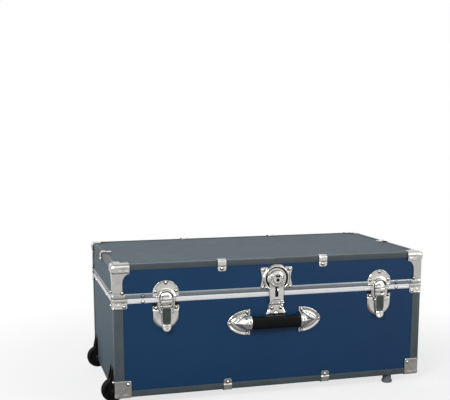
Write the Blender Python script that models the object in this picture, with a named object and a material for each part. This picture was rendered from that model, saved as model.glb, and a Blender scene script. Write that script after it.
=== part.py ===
"""A wheeled footlocker: a vinyl-covered board trunk with a hinged lid, two draw bolts and a hasp lock.

Metres, +Z up, standing on the ground at z = 0 with its front facing -Y and its wheels at -X.
Everything is drawn round the middle of the board box and parented to an empty, which moves the box so
that the world's origin is under the middle of the whole footlocker, wheels and handles included.
Hardware is drawn in the frame of the wall that it is fixed to: x along the wall, z up and -y out of it.
"""

from math import cos, pi, radians, sin

import bmesh
import bpy
from mathutils import Matrix, Vector

# Driving dimensions of the board box
LENGTH = 0.757
DEPTH = 0.397
BOARD = 0.006
BOX_BOTTOM = 0.0226
BOX_TOP = 0.3284
SEAM = 0.251
HALF_X = LENGTH / 2
HALF_Y = DEPTH / 2

# Layers over the boards, each measured out of the board's face
GAP = 0.0002
LAYER_GAP = 0.0003
BINDING_OUT = 0.0010
RIM_OUT = 0.0014
CAP_IN = 0.0016
CAP_OUT = 0.0026
LINING = 0.0007
PLATE_OUT = 0.0014

# Cutters run this far past what they cut, and some by this much
FAR = 0.050
NEAR = 0.010

# Rivets: a head's radius, and the heights of its skirt and of its dome
RIVET_RADIUS = 0.0032
RIVET_ROOT = 0.0006
RIVET_SKIRT = 0.0004
RIVET_SHOULDER = 0.0014
RIVET_DOME = 0.0017

# Rims
BAND = 0.0115
RIM_WALL = 0.0014
RIM_INNER_WALL = 0.0012
RIM_INNER_DEPTH = 0.009
TONGUE = (0.0028, 0.0042)
TONGUE_HEIGHT = 0.0055
TONGUE_END = 0.022
LEDGE = 0.0030

# Edge binding legs
CORNER_LEG = 0.022
BOTTOM_LEG = 0.0145
UNDER_LEG = 0.020
TOP_LEG = 0.0105
SIDE_LEG = 0.0135
UNDER_CAP = 0.0020

# Corner caps
CAP_REACH = 0.041
LID_CAP_BAND = 0.022
LID_CAP_LEG = 0.025
LID_CAP_FILLET = 0.018
TOP_FLANGE = 0.020
RIM_CAP_REACH = 0.032
RIM_CAP_DROP = 0.023
WHEEL_CAP_REACH = 0.030
LID_CAP_RIVET = (0.0185, 0.0160)
RIM_CAP_RIVET = (0.0225, 0.0160)
FOOT_CAP_RIVET = (0.0285, 0.0250)
WHEEL_CAP_RIVET = 0.0215

# Draw bolts, seen from the front, with heights above the ground
HARDWARE_X = 0.0035
BOLT_X = 0.2635
BOLT_HALF = 0.0305
BOLT_TOP = 0.290
BOLT_BOTTOM = 0.178
LEVER_PIVOT = (0.0075, 0.2310)
BAIL_PIVOT = (0.0070, 0.2180)
LEVER_HALF = 0.0095
LEVER_WIDE = 0.0108
LEVER_SHOULDER = 0.2250
LEVER_TIP = 0.1725
LEVER_NECK = 0.0120
LEVER_OUT = (0.0046, 0.0098)
DISH_HALF = 0.0090
DISH_DEPTH = 0.0010
STUB = 0.0118
BAIL_TOP = 0.2665
BAIL_HALF = 0.0178
BAIL_WIRE = 0.0014
KNOB_HALF = 0.0128
KNOB_FLAT = 0.2470
KNOB_CENTRE = 0.2515
KNOB_OUT = (0.0075, 0.0095)
KEEPER_RIVETS = ((0, 0.2855), (-0.0235, 0.2660), (0.0235, 0.2660))
BASE_RIVETS = ((-0.0235, 0.2310), (0.0235, 0.2310))
PAN_TOP = 0.2250
PAN_OUT = 0.0040
PAN_INSET = 0.0030
EAR = (0.0102, 0.0120)
PIN = 0.0014
PIN_HOLE = 0.0017
PIN_HALF = 0.0148
EYE = (0.0112, 0.0142)
EYE_RADIUS = 0.0029

# Hasp lock
LOCK_CENTRE = 0.2815
BEZEL_OUT = 0.0335
BEZEL_IN = 0.0262
HEAD_RADIUS = 0.0190
STAPLE = (0.2516, 0.2597)
SLOT = (0.2375, 0.2622)
PLUG_RADIUS = 0.0105
HASP_PIVOT = (0.0040, 0.2230)
HASP_HALF = 0.0183
KNUCKLE = 0.0030
KNUCKLE_HALF = 0.0080
PLATE_SPAN = (0.2585, 0.3080)
PLATE_HALF = 0.0390
WAIST = 0.0055
TAB_HALF = 0.0120
PASSAGE_GAP = 0.0008
STAPLE_HALF = 0.0020
STAPLE_OUT = 0.0165
STAPLE_EYE = (0.2534, 0.2580)
EYE_OUT = (0.0085, 0.0145)
SLOT_HALF = 0.0040
ARM_OUT = (0.0004, 0.0024)
HEAD_OUT = 0.0124
PLUG_OUT = (0.0040, 0.0128)
TAIL = (0.0028, 0.0068)
TAIL_DEPTH = (0.0031, 0.0012)
TAIL_SLOT = (0.0035, 0.0075)
TAIL_ROOM = 0.0090
LOCK_RIVETS = ((0.0335, 0.2625), (0.0335, 0.3030))
HINGE_PLATE_RIVETS = ((-0.0110, 0.2130), (0.0110, 0.2130))

# Handles
HANDLE_Z = 0.180
HANDLE_MOUTH = 0.0605
HANDLE_TIP = 0.1155
HANDLE_HALF = 0.0305
HANDLE_OUT = 0.0220
GRIP_HALF = 0.0575
GRIP_HALF_HEIGHT = 0.0150
GRIP_IN = 0.0080
STRAP = (0.0090, 0.0110)
STRAP_HALF = (0.0650, 0.0050)
CAP_CURVE = 2.6
CAP_RIVET = 0.0026
RIDGE_HALF = 0.0200
RIDGE_WALL = 0.0012

# Hinges, wheels and feet
HINGE_X = 0.262
HINGE_OUT = 0.0062
HINGE_KNUCKLE = 0.0042
LEAF_LENGTH = 0.0370
LEAF_HALF = 0.0220
LEAF_CHAMFER = 0.0050
LEAF_RIVET = (0.0130, 0.0270)
NECK_OUT = (0.0018, 0.0038)
WHEEL_RADIUS = 0.028
WHEEL_WIDTH = 0.022
WHEEL_Y = 0.150
WHEEL_X = -HALF_X + 0.0005
WELL_HALF = 0.013
WELL_OUTER = 0.0334
WELL_INNER = 0.0310
WELL_REACH = 0.0345
CHEEK = 0.0025
AXLE = 0.004
AXLE_HEAD = 0.0070
AXLE_HEAD_DEPTH = 0.0025
FOOT_X = 0.304
FOOT_Y = 0.183
FOOT_RADIUS = 0.013

# The box's place, which puts the origin under the middle of the whole footlocker
HINGE_REACH = HALF_Y + HINGE_OUT + HINGE_KNUCKLE
HANDLE_REACH = HALF_Y + HANDLE_OUT
WHEEL_REACH = WHEEL_RADIUS - WHEEL_X
BOX_X = (WHEEL_REACH - HALF_X - HANDLE_OUT) / 2
BOX_Y = (HANDLE_REACH - HINGE_REACH) / 2


def material(name, colour, metallic, roughness):
    made = bpy.data.materials.new(name)
    made.use_nodes = True
    shader = made.node_tree.nodes["Principled BSDF"]
    shader.inputs["Base Color"].default_value = (*colour, 1.0)
    shader.inputs["Metallic"].default_value = metallic
    shader.inputs["Roughness"].default_value = roughness
    return made


def materials():
    return {
        "blue_vinyl": material("blue_vinyl", (0.020, 0.060, 0.155), 0.0, 0.45),
        "grey_vinyl": material("grey_vinyl", (0.125, 0.150, 0.165), 0.0, 0.55),
        "binding": material("binding", (0.085, 0.100, 0.110), 0.0, 0.50),
        "lining": material("lining", (0.130, 0.135, 0.130), 0.0, 0.90),
        "nickel": material("nickel", (0.640, 0.620, 0.570), 1.0, 0.20),
        "aluminium": material("aluminium", (0.800, 0.800, 0.800), 1.0, 0.30),
        "steel": material("steel", (0.450, 0.450, 0.440), 1.0, 0.35),
        "black_plastic": material("black_plastic", (0.010, 0.010, 0.011), 0.0, 0.40),
        "black_rubber": material("black_rubber", (0.012, 0.012, 0.012), 0.0, 0.60),
        "grey_plastic": material("grey_plastic", (0.250, 0.260, 0.270), 0.0, 0.50),
    }


# Shapes


def shape(bm):
    """A working object that holds a bmesh, with its faces pointing out."""
    bmesh.ops.recalc_face_normals(bm, faces=bm.faces)
    mesh = bpy.data.meshes.new("shape")
    bm.to_mesh(mesh)
    bm.free()
    made = bpy.data.objects.new("shape", mesh)
    bpy.context.collection.objects.link(made)
    return made


def block(xs, ys, zs):
    """A box between the two values given on each axis."""
    middle = Vector([(a + b) / 2 for a, b in (xs, ys, zs)])
    size = [abs(b - a) for a, b in (xs, ys, zs)]
    bm = bmesh.new()
    bmesh.ops.create_cube(bm, size=1.0, matrix=Matrix.Translation(middle) @ Matrix.Diagonal((*size, 1.0)))
    return shape(bm)


def plate(outline, near, far):
    """An outline of (x, z) points, thickened from near to far out of the wall."""
    bm = bmesh.new()
    face = bm.faces.new([bm.verts.new((x, -near, z)) for x, z in outline])
    extrude(bm, face, (0, near - far, 0))
    return shape(bm)


def extrude(bm, face, by):
    moved = bmesh.ops.extrude_face_region(bm, geom=[face])["geom"]
    bmesh.ops.translate(bm, vec=by, verts=[v for v in moved if isinstance(v, bmesh.types.BMVert)])


def turned(profile, centre, segments=16):
    """A profile of (radius, out) points, turned round an axis that stands out of the wall at (x, z)."""
    bm = bmesh.new()
    rings = []
    turn = [2 * pi * i / segments for i in range(segments)]
    for radius, out in profile:
        places = [(centre[0] + radius * cos(a), -out, centre[1] + radius * sin(a)) for a in turn]
        if radius == 0:
            places = [(centre[0], -out, centre[1])]
        rings.append([bm.verts.new(place) for place in places])
    for low, high in zip(rings, rings[1:] + rings[:1]):
        for i in range(segments):
            j = (i + 1) % segments
            corners = [low[i % len(low)], low[j % len(low)], high[j % len(high)], high[i % len(high)]]
            unique = list(dict.fromkeys(corners))
            if len(unique) > 2:
                bm.faces.new(unique)
    return shape(bm)


def rod(start, end, radius, segments=12):
    """A round bar between two points."""
    start, end = Vector(start), Vector(end)
    along = end - start
    turn = along.to_track_quat("Z", "Y").to_matrix().to_4x4()
    bm = bmesh.new()
    bmesh.ops.create_cone(
        bm,
        cap_ends=True,
        segments=segments,
        radius1=radius,
        radius2=radius,
        depth=along.length,
        matrix=Matrix.Translation((start + end) / 2) @ turn,
    )
    return shape(bm)


def wire(points, radius):
    """A round wire through the points, with filled ends."""
    curve = bpy.data.curves.new("wire", "CURVE")
    curve.dimensions = "3D"
    curve.bevel_depth = radius
    curve.bevel_resolution = 1
    curve.use_fill_caps = True
    spline = curve.splines.new("POLY")
    spline.points.add(len(points) - 1)
    for point, place in zip(spline.points, points):
        point.co = (*place, 1.0)
    guide = bpy.data.objects.new("wire", curve)
    bpy.context.collection.objects.link(guide)
    bm = evaluated(guide)
    bmesh.ops.remove_doubles(bm, verts=bm.verts, dist=1e-6)
    bpy.data.objects.remove(guide)
    return shape(bm)


def evaluated(source):
    """The mesh of an object with its modifiers, as a bmesh."""
    bpy.context.view_layer.update()
    seen = source.evaluated_get(bpy.context.evaluated_depsgraph_get())
    bm = bmesh.new()
    mesh = seen.to_mesh()
    bm.from_mesh(mesh)
    seen.to_mesh_clear()
    return bm


def combined(base, tools, operation):
    """The base with each tool joined to it or cut from it."""
    for tool in tools:
        boolean = base.modifiers.new("boolean", "BOOLEAN")
        boolean.operation = operation
        boolean.solver = "EXACT"
        boolean.object = tool
        result = evaluated(base)
        bmesh.ops.triangulate(result, faces=result.faces)
        base.modifiers.clear()
        result.to_mesh(base.data)
        result.free()
        bpy.data.objects.remove(tool)
    return base


def joined(base, *tools):
    return combined(base, tools, "UNION")


def cut(base, *tools):
    return combined(base, tools, "DIFFERENCE")


def ring(profile, half_x, half_y):
    """A closed frame: a section of (out, z) points taken round a rectangle with mitred corners."""
    bm = bmesh.new()
    loops = []
    for sx, sy in ((-1, -1), (1, -1), (1, 1), (-1, 1)):
        loops.append([bm.verts.new((sx * (half_x + out), sy * (half_y + out), z)) for out, z in profile])
    for here, after in zip(loops, loops[1:] + loops[:1]):
        for i in range(len(profile)):
            j = (i + 1) % len(profile)
            bm.faces.new((here[i], here[j], after[j], after[i]))
    return shape(bm)


def arc(centre, radius, start, end, steps):
    """Points along an arc, with its angles in degrees."""
    turn = [radians(start + (end - start) * i / steps) for i in range(steps + 1)]
    return [(centre[0] + radius * cos(a), centre[1] + radius * sin(a)) for a in turn]


def rivet(x, z, out, radius=RIVET_RADIUS):
    """A domed rivet head on a surface that stands out of the wall."""
    root = out - RIVET_ROOT
    profile = [(0, root), (radius, root), (radius, out + RIVET_SKIRT), (radius * 0.6, out + RIVET_SHOULDER)]
    return turned([*profile, (0, out + RIVET_DOME)], (x, z), 8)


def placed(made, matrix):
    made.data.transform(matrix)
    return made


class Trunk:
    """Names the finished shapes, gives them their materials and hangs them on the empty."""

    def __init__(self):
        self.materials = materials()
        self.origin = bpy.data.objects.new("footlocker", None)
        self.origin.location = (BOX_X, BOX_Y, 0)
        bpy.context.collection.objects.link(self.origin)

    def add(self, name, made, slot, pivot=None):
        made.name = name
        made.data.name = name
        made.data.materials.clear()
        made.data.materials.append(self.materials[slot])
        made.data.shade_smooth()
        made.data.set_sharp_from_angle(angle=radians(35))
        if pivot is not None:
            made.data.transform(Matrix.Translation(-Vector(pivot)))
            made.location = pivot
        made.parent = self.origin
        return made


FRONT = Matrix.Translation((0, -HALF_Y, 0))
CATCHES = FRONT @ Matrix.Translation((HARDWARE_X, 0, 0))
REAR = Matrix.Translation((0, HALF_Y, 0)) @ Matrix.Rotation(pi, 4, "Z")
RIGHT = Matrix.Translation((HALF_X, 0, 0)) @ Matrix.Rotation(pi / 2, 4, "Z")
CORNERS = {"front_left": (-1, -1), "front_right": (1, -1), "rear_left": (-1, 1), "rear_right": (1, 1)}


# The board box


def well_cutter(side, margin):
    """The space that one wheel well takes out of the boards at the box's lower left edge."""
    half = WELL_HALF + CHEEK + margin
    made = edge_cutter(side, WELL_REACH + margin, half, 0)
    heads = edge_cutter(side, AXLE_HEAD + 2 * margin, half + AXLE_HEAD_DEPTH + margin, -NEAR)
    return joined(made, heads)


def edge_cutter(side, reach, half, low):
    """A block at the lower left edge, reaching so far in and up from one wheel's centre."""
    middle = side * WHEEL_Y
    xs = (-FAR - HALF_X, WHEEL_X + reach)
    return block(xs, (middle - half, middle + half), (low, WHEEL_RADIUS + reach))


def walls(trunk, prefix, low, high):
    """The four upright boards of the lid or of the body."""
    inner_y = HALF_Y - BOARD - GAP
    for name, side in (("front", -1), ("rear", 1)):
        made = block((-HALF_X, HALF_X), (side * HALF_Y, side * (HALF_Y - BOARD)), (low, high))
        if prefix == "lid" and side < 0:
            cut(made, lock_hole())
        trunk.add(f"{prefix}_{name}_panel", made, "blue_vinyl")
    for name, side in (("left", -1), ("right", 1)):
        made = block((side * HALF_X, side * (HALF_X - BOARD)), (-inner_y, inner_y), (low, high))
        if prefix == "body" and side < 0:
            cut(made, well_cutter(-1, LAYER_GAP), well_cutter(1, LAYER_GAP))
        trunk.add(f"{prefix}_{name}_panel", made, "grey_vinyl")


def lock_hole():
    """The room for the lock plug's tail in the lid's front board."""
    profile = ((0, -FAR), (TAIL_ROOM, -FAR), (TAIL_ROOM, FAR), (0, FAR))
    return placed(turned(profile, (0, LOCK_CENTRE), 24), CATCHES)


def lining(low, high, closed_end, open_end):
    """A paper-thin box that lines the boards, closed at one end."""
    x, y = HALF_X - BOARD - GAP, HALF_Y - BOARD - GAP
    made = block((-x, x), (-y, y), (low, high))
    x, y = x - LINING, y - LINING
    return cut(made, block((-x, x), (-y, y), (closed_end, open_end)))


def boards(trunk):
    rim_edge = RIM_WALL + 2 * GAP
    walls(trunk, "body", BOX_BOTTOM + BOARD + GAP, SEAM - rim_edge)
    walls(trunk, "lid", SEAM + rim_edge, BOX_TOP - BOARD - GAP)
    floor = block((-HALF_X, HALF_X), (-HALF_Y, HALF_Y), (BOX_BOTTOM, BOX_BOTTOM + BOARD))
    cut(floor, well_cutter(-1, LAYER_GAP), well_cutter(1, LAYER_GAP))
    trunk.add("body_bottom_panel", floor, "grey_vinyl")
    top = block((-HALF_X, HALF_X), (-HALF_Y, HALF_Y), (BOX_TOP - BOARD, BOX_TOP))
    trunk.add("lid_top_panel", top, "grey_vinyl")

    floor_top = BOX_BOTTOM + BOARD + GAP
    mouth = SEAM - RIM_INNER_DEPTH - 2 * GAP
    body_lining = lining(floor_top, mouth, floor_top + LINING, SEAM)
    cut(body_lining, well_cutter(-1, LAYER_GAP), well_cutter(1, LAYER_GAP))
    trunk.add("body_lining", body_lining, "lining")
    ceiling = BOX_TOP - BOARD - GAP
    mouth = SEAM + RIM_INNER_DEPTH + 2 * GAP
    trunk.add("lid_lining", lining(mouth, ceiling, SEAM, ceiling - LINING), "lining")


def rim(side):
    """The channel over the boards' edge: side is -1 for the body's rim and 1 for the lid's."""
    inner = -BOARD - LAYER_GAP
    wall = inner - RIM_INNER_WALL
    ledge = wall - (LEDGE if side < 0 else 0.0)
    face, under, foot = GAP, RIM_WALL + GAP, RIM_INNER_DEPTH
    profile = [(GAP, BAND), (RIM_OUT, BAND), (RIM_OUT, face), (ledge, face)]
    if side < 0:
        profile += [(ledge, under), (wall, under)]
    profile += [(wall, foot), (inner, foot), (inner, under), (GAP, under)]
    return ring([(out, SEAM + side * z) for out, z in profile], HALF_X, HALF_Y)


def tongues():
    """The upstand inside the lid's rim, along the front and the two ends."""
    outer, inner = BOARD + TONGUE[0], BOARD + TONGUE[1]
    low, high = SEAM - RIM_WALL / 2, SEAM + TONGUE_HEIGHT
    made = [block((-HALF_X + inner, HALF_X - inner), (-HALF_Y + inner, -HALF_Y + outer), (low, high))]
    ys = (-HALF_Y + outer + GAP / 2, HALF_Y - TONGUE_END)
    for side in (-1, 1):
        xs = (side * (HALF_X - inner), side * (HALF_X - outer))
        made.append(block(xs, ys, (low, high - GAP / 2)))
    return made


def rims(trunk):
    trunk.add("body_rim", joined(rim(-1), *tongues()), "aluminium")
    trunk.add("lid_rim", rim(1), "aluminium")


def binding(low, high, inner_low, inner_high, windows):
    """An angle along each edge: a thin box over the boards, with a window cut in each of its faces."""
    out = BINDING_OUT
    made = block((-HALF_X - out, HALF_X + out), (-HALF_Y - out, HALF_Y + out), (low, high))
    core = block((-HALF_X - GAP, HALF_X + GAP), (-HALF_Y - GAP, HALF_Y + GAP), (inner_low, inner_high))
    return cut(made, core, *windows)


def side_windows(low, high, leg):
    """The openings that leave an upright leg at each corner."""
    x, y = HALF_X - leg, HALF_Y - leg
    along_x = block((-x, x), (-HALF_Y - FAR, HALF_Y + FAR), (low, high))
    along_y = block((-HALF_X - FAR, HALF_X + FAR), (-y, y), (low + GAP / 2, high - GAP / 2))
    return along_x, along_y


def bindings(trunk):
    rim_edge = BAND + GAP
    low, high = BOX_BOTTOM - BINDING_OUT, SEAM - rim_edge
    x, y = HALF_X - UNDER_LEG, HALF_Y - UNDER_LEG
    under = block((-x, x), (-y, y), (0, BOX_BOTTOM + BOARD))
    windows = side_windows(low + BOTTOM_LEG, SEAM, CORNER_LEG)
    wheel_gap = HALF_Y - WHEEL_CAP_REACH + UNDER_CAP
    edge_top = BOX_BOTTOM + BOTTOM_LEG + UNDER_CAP
    left_edge = block((-HALF_X - FAR, -HALF_X + FAR), (-wheel_gap, wheel_gap), (0, edge_top))
    body = binding(low, high, BOX_BOTTOM - GAP, SEAM, (*windows, under, left_edge))
    trunk.add("body_edge_binding", body, "binding")

    low, high = SEAM + rim_edge, BOX_TOP + BINDING_OUT
    x, y = HALF_X - TOP_LEG, HALF_Y - TOP_LEG
    over = block((-x, x), (-y, y), (BOX_TOP - BOARD, BOX_TOP + FAR))
    windows = side_windows(SEAM, high - SIDE_LEG, CORNER_LEG)
    lid = binding(low, high, SEAM, BOX_TOP + GAP, (*windows, over))
    trunk.add("lid_edge_binding", lid, "binding")


# Corner caps


def corner_block(signs, reach, out, zs):
    """A box at one of the trunk's upright corners, reaching so far along each wall."""
    sx, sy = signs
    xs = (sx * (HALF_X + out), sx * (HALF_X + CAP_OUT - reach[0]))
    ys = (sy * (HALF_Y + out), sy * (HALF_Y + CAP_OUT - reach[1]))
    return block(xs, ys, zs)


def cap_rivets(signs, across, z):
    """One rivet on each of a cap's two walls, so far from the corner."""
    sx, sy = signs
    front = Matrix.Translation((0, sy * HALF_Y, 0)) @ Matrix.Rotation(pi if sy > 0 else 0, 4, "Z")
    end = Matrix.Translation((sx * HALF_X, 0, 0)) @ Matrix.Rotation(sx * pi / 2, 4, "Z")
    x = -sx * sy * (HALF_X - across)
    y = sx * sy * (HALF_Y - across)
    return [placed(rivet(x, z, CAP_OUT), front), placed(rivet(y, z, CAP_OUT), end)]


def lid_cap(signs):
    """A pressed cap: a band under the top edge, a leg down each wall and an angle on the top."""
    sx, sy = signs
    low, top = SEAM + 2 * GAP, BOX_TOP + CAP_OUT
    made = corner_block(signs, (CAP_REACH, CAP_REACH), CAP_OUT, (low, top))
    hollow = corner_block(signs, (CAP_REACH + FAR, CAP_REACH + FAR), CAP_IN, (low - FAR, BOX_TOP + CAP_IN))
    cut(made, hollow)
    band = top - LID_CAP_BAND
    fillet = (LID_CAP_LEG + LID_CAP_FILLET, band - LID_CAP_FILLET)
    bend = arc(fillet, LID_CAP_FILLET, 180, 90, 4)
    outline = [(LID_CAP_LEG, low - FAR), *bend, (FAR, band), (FAR, low - FAR)]
    along_x = plate([(sx * (HALF_X + CAP_OUT - u), z) for u, z in outline], -FAR, FAR)
    along_y = plate([(sy * (HALF_Y + CAP_OUT - u), z) for u, z in outline], -FAR, FAR)
    placed(along_x, Matrix.Translation((0, sy * (HALF_Y + FAR - BOARD), 0)))
    placed(along_y, Matrix.Translation((sx * (HALF_X + FAR - BOARD), 0, 0)) @ Matrix.Rotation(pi / 2, 4, "Z"))
    flange = CAP_OUT - TOP_FLANGE
    xs = (sx * (HALF_X + flange), sx * (HALF_X - FAR - NEAR))
    ys = (sy * (HALF_Y + flange), sy * (HALF_Y - FAR - NEAR))
    cut(made, along_x, along_y, block(xs, ys, (BOX_TOP - NEAR, top + NEAR)))
    return joined(made, *cap_rivets(signs, LID_CAP_RIVET[0], SEAM + LID_CAP_RIVET[1]))


def rim_cap(signs):
    """The angle over the body's rim at a corner."""
    reach = (RIM_CAP_REACH, RIM_CAP_REACH)
    made = corner_block(signs, reach, CAP_OUT, (SEAM - RIM_CAP_DROP, SEAM - 2 * GAP))
    hollow = corner_block(signs, (FAR, FAR), CAP_IN, (SEAM - FAR, SEAM + FAR))
    return joined(cut(made, hollow), *cap_rivets(signs, RIM_CAP_RIVET[0], SEAM - RIM_CAP_RIVET[1]))


def foot_cap(signs):
    """The three-sided cap at a bottom corner, narrower beside the wheels."""
    sx = signs[0]
    reach = (CAP_REACH, WHEEL_CAP_REACH if sx < 0 else CAP_REACH)
    low, high = BOX_BOTTOM - CAP_OUT, BOX_BOTTOM - CAP_OUT + CAP_REACH
    made = corner_block(signs, reach, CAP_OUT, (low, high))
    hollow = corner_block(signs, (FAR, FAR), CAP_IN, (BOX_BOTTOM - CAP_IN, high + FAR))
    across = FOOT_CAP_RIVET[0] if sx > 0 else WHEEL_CAP_RIVET
    return joined(cut(made, hollow), *cap_rivets(signs, across, BOX_BOTTOM + FOOT_CAP_RIVET[1]))


def caps(trunk):
    for place, signs in CORNERS.items():
        trunk.add(f"lid_corner_cap_{place}", lid_cap(signs), "nickel")
        trunk.add(f"body_rim_corner_{place}", rim_cap(signs), "nickel")
        trunk.add(f"bottom_corner_cap_{place}", foot_cap(signs), "nickel")


# Draw bolts, drawn round x = 0 in the front wall's frame


def rim_room():
    """What a lid plate leaves free behind it for the lid's rim."""
    return block((-FAR, FAR), (-CAP_IN, NEAR), (SEAM - NEAR, SEAM + BAND + GAP))


def bolt_keeper():
    """The lid's plate, whose knob the bail goes round."""
    centre = BOLT_TOP - BOLT_HALF
    low = SEAM + 2 * GAP
    outline = [(BOLT_HALF, low), *arc((0, centre), BOLT_HALF, 0, 180, 12), (-BOLT_HALF, low)]
    made = plate(outline, GAP, CAP_OUT)
    cut(made, rim_room())
    knob = [(KNOB_HALF, KNOB_FLAT), *arc((0, KNOB_CENTRE), KNOB_HALF, 0, 180, 10), (-KNOB_HALF, KNOB_FLAT)]
    crown = [(x * 0.8, KNOB_CENTRE + (z - KNOB_CENTRE) * 0.8) for x, z in knob]
    joined(made, plate(knob, CAP_IN, KNOB_OUT[0]), plate(crown, KNOB_OUT[0] - RIVET_ROOT, KNOB_OUT[1]))
    return joined(made, *[rivet(x, z, CAP_OUT) for x, z in KEEPER_RIVETS])


def bolt_base():
    """The body's plate: a raised pan, two ears for the lever and a stop block over the rim."""
    top = SEAM - BAND - 2 * GAP
    centre = BOLT_BOTTOM + BOLT_HALF
    outline = [(-BOLT_HALF, top), *arc((0, centre), BOLT_HALF, 180, 360, 12), (BOLT_HALF, top)]
    made = plate(outline, GAP, PLATE_OUT)
    inset = BOLT_HALF - PAN_INSET
    pan = [(-inset, PAN_TOP), *arc((0, centre), inset, 180, 360, 12), (inset, PAN_TOP)]
    stop = block((-0.0090, 0.0090), (-0.0080, -0.0012), (0.2355, 0.2455))
    cut(stop, block((-FAR, FAR), (-CAP_IN - GAP, NEAR), (top - GAP, SEAM)))
    ears = [block((s * EAR[0], s * EAR[1]), (-0.0100, -0.0010), (0.2260, 0.2362)) for s in (-1, 1)]
    joined(made, plate(pan, PLATE_OUT / 2, PAN_OUT), stop, *ears)
    pivot = (-LEVER_PIVOT[0], LEVER_PIVOT[1])
    cut(made, rod((-NEAR - EAR[1], *pivot), (NEAR + EAR[1], *pivot), PIN_HOLE))
    return joined(made, *[rivet(x, z, PLATE_OUT) for x, z in BASE_RIVETS])


def bolt_lever():
    """The lever: a dished tongue with a round tip, hung on two stub pins."""
    out, top = LEVER_PIVOT
    end = LEVER_WIDE * 0.88
    tip = LEVER_TIP + end
    neck, low = tip + LEVER_NECK, tip + LEVER_NECK - 0.002
    half = [(LEVER_HALF, top + 0.0030), (LEVER_HALF, LEVER_SHOULDER), (LEVER_WIDE, LEVER_SHOULDER)]
    half += [(LEVER_WIDE, neck), (end, tip)]
    arch = arc((0, tip), end, 340, 200, 6)
    made = plate([*half, *arch, *[(-x, z) for x, z in reversed(half)]], *LEVER_OUT)
    dish_top = top - 0.0085
    dish = [(-DISH_HALF, dish_top), (-DISH_HALF, neck), *arc((0, low), DISH_HALF * 0.8, 200, 340, 6)]
    dish += [(DISH_HALF, neck), (DISH_HALF, dish_top)]
    cut(made, plate(dish, LEVER_OUT[1] - DISH_DEPTH, FAR))
    joined(made, rod((-STUB, -out, top), (STUB, -out, top), PIN))
    pin = (-BAIL_PIVOT[0], BAIL_PIVOT[1])
    return cut(made, rod((-FAR, *pin), (FAR, *pin), PIN_HOLE))


def bolt_pin():
    """The pin through the lever that carries the bail's two eyes."""
    out, z = BAIL_PIVOT
    return rod((-PIN_HALF, -out, z), (PIN_HALF, -out, z), PIN)


def bolt_bail():
    """The wire loop that goes round the knob, with an eye on the pin at each end."""
    out, low = BAIL_PIVOT
    bend = BAIL_TOP - BAIL_HALF
    half = [(0.0128, low + 0.0012), (0.0140, low + 0.0045), (BAIL_HALF, low + 0.0120)]
    path = [*half, *arc((0, bend), BAIL_HALF, 0, 180, 12), *[(-x, z) for x, z in reversed(half)]]
    made = wire([(x, -out, z) for x, z in path], BAIL_WIRE)
    for s in (-1, 1):
        joined(made, rod((s * EYE[0], -out, low), (s * EYE[1], -out, low), EYE_RADIUS))
    return cut(made, rod((-FAR, -out, low), (FAR, -out, low), PIN_HOLE))


def draw_bolts(trunk):
    for side, x in (("left", -BOLT_X), ("right", BOLT_X)):
        at = CATCHES @ Matrix.Translation((x, 0, 0))
        lever_pivot = at @ Vector((0, -LEVER_PIVOT[0], LEVER_PIVOT[1]))
        bail_pivot = at @ Vector((0, -BAIL_PIVOT[0], BAIL_PIVOT[1]))
        trunk.add(f"{side}_draw_bolt_keeper", placed(bolt_keeper(), at), "nickel")
        trunk.add(f"{side}_draw_bolt_base", placed(bolt_base(), at), "nickel")
        trunk.add(f"{side}_draw_bolt_lever", placed(bolt_lever(), at), "nickel", lever_pivot)
        trunk.add(f"{side}_draw_bolt_pin", placed(bolt_pin(), at), "steel", bail_pivot)
        trunk.add(f"{side}_draw_bolt_bail", placed(bolt_bail(), at), "nickel", bail_pivot)


# Hasp lock, drawn round x = 0 in the front wall's frame


def lock_plate():
    """The lid's lock plate: four riveted corners, an open bezel for the hasp's head, and a staple."""
    low, high = PLATE_SPAN
    steps = [i / 6 for i in range(7)]
    side = [(PLATE_HALF - WAIST * sin(t * pi), low + (high - low) * t) for t in steps]
    made = plate([*side, *[(-x, z) for x, z in reversed(side)]], GAP, CAP_OUT)
    joined(made, block((-TAB_HALF, TAB_HALF), (-CAP_OUT, -GAP), (SEAM + 2 * GAP, low + GAP)))
    root = PLATE_OUT / 2
    profile = [(BEZEL_IN, root), (BEZEL_OUT, root), (BEZEL_OUT, 0.0030), (BEZEL_OUT - 0.0030, 0.0070)]
    profile += [(BEZEL_IN + 0.0013, 0.0078), (BEZEL_IN, 0.0070)]
    bezel = turned(profile, (0, LOCK_CENTRE), 28)
    passage = HASP_HALF + PASSAGE_GAP
    cut(bezel, block((-passage, passage), (-FAR, FAR), (SEAM - NEAR, LOCK_CENTRE)))
    joined(made, bezel)
    x, z = TAIL_SLOT
    tail_slot = block((-x, x), (-FAR, FAR), (LOCK_CENTRE - z, LOCK_CENTRE + z))
    cut(made, rim_room(), tail_slot)
    staple = block((-STAPLE_HALF, STAPLE_HALF), (-STAPLE_OUT, -CAP_IN - GAP), STAPLE)
    eye = block((-FAR, FAR), (-EYE_OUT[1], -EYE_OUT[0]), STAPLE_EYE)
    joined(made, cut(staple, eye))
    return joined(made, *[rivet(s * x, z, CAP_OUT) for s in (-1, 1) for x, z in LOCK_RIVETS])


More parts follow.
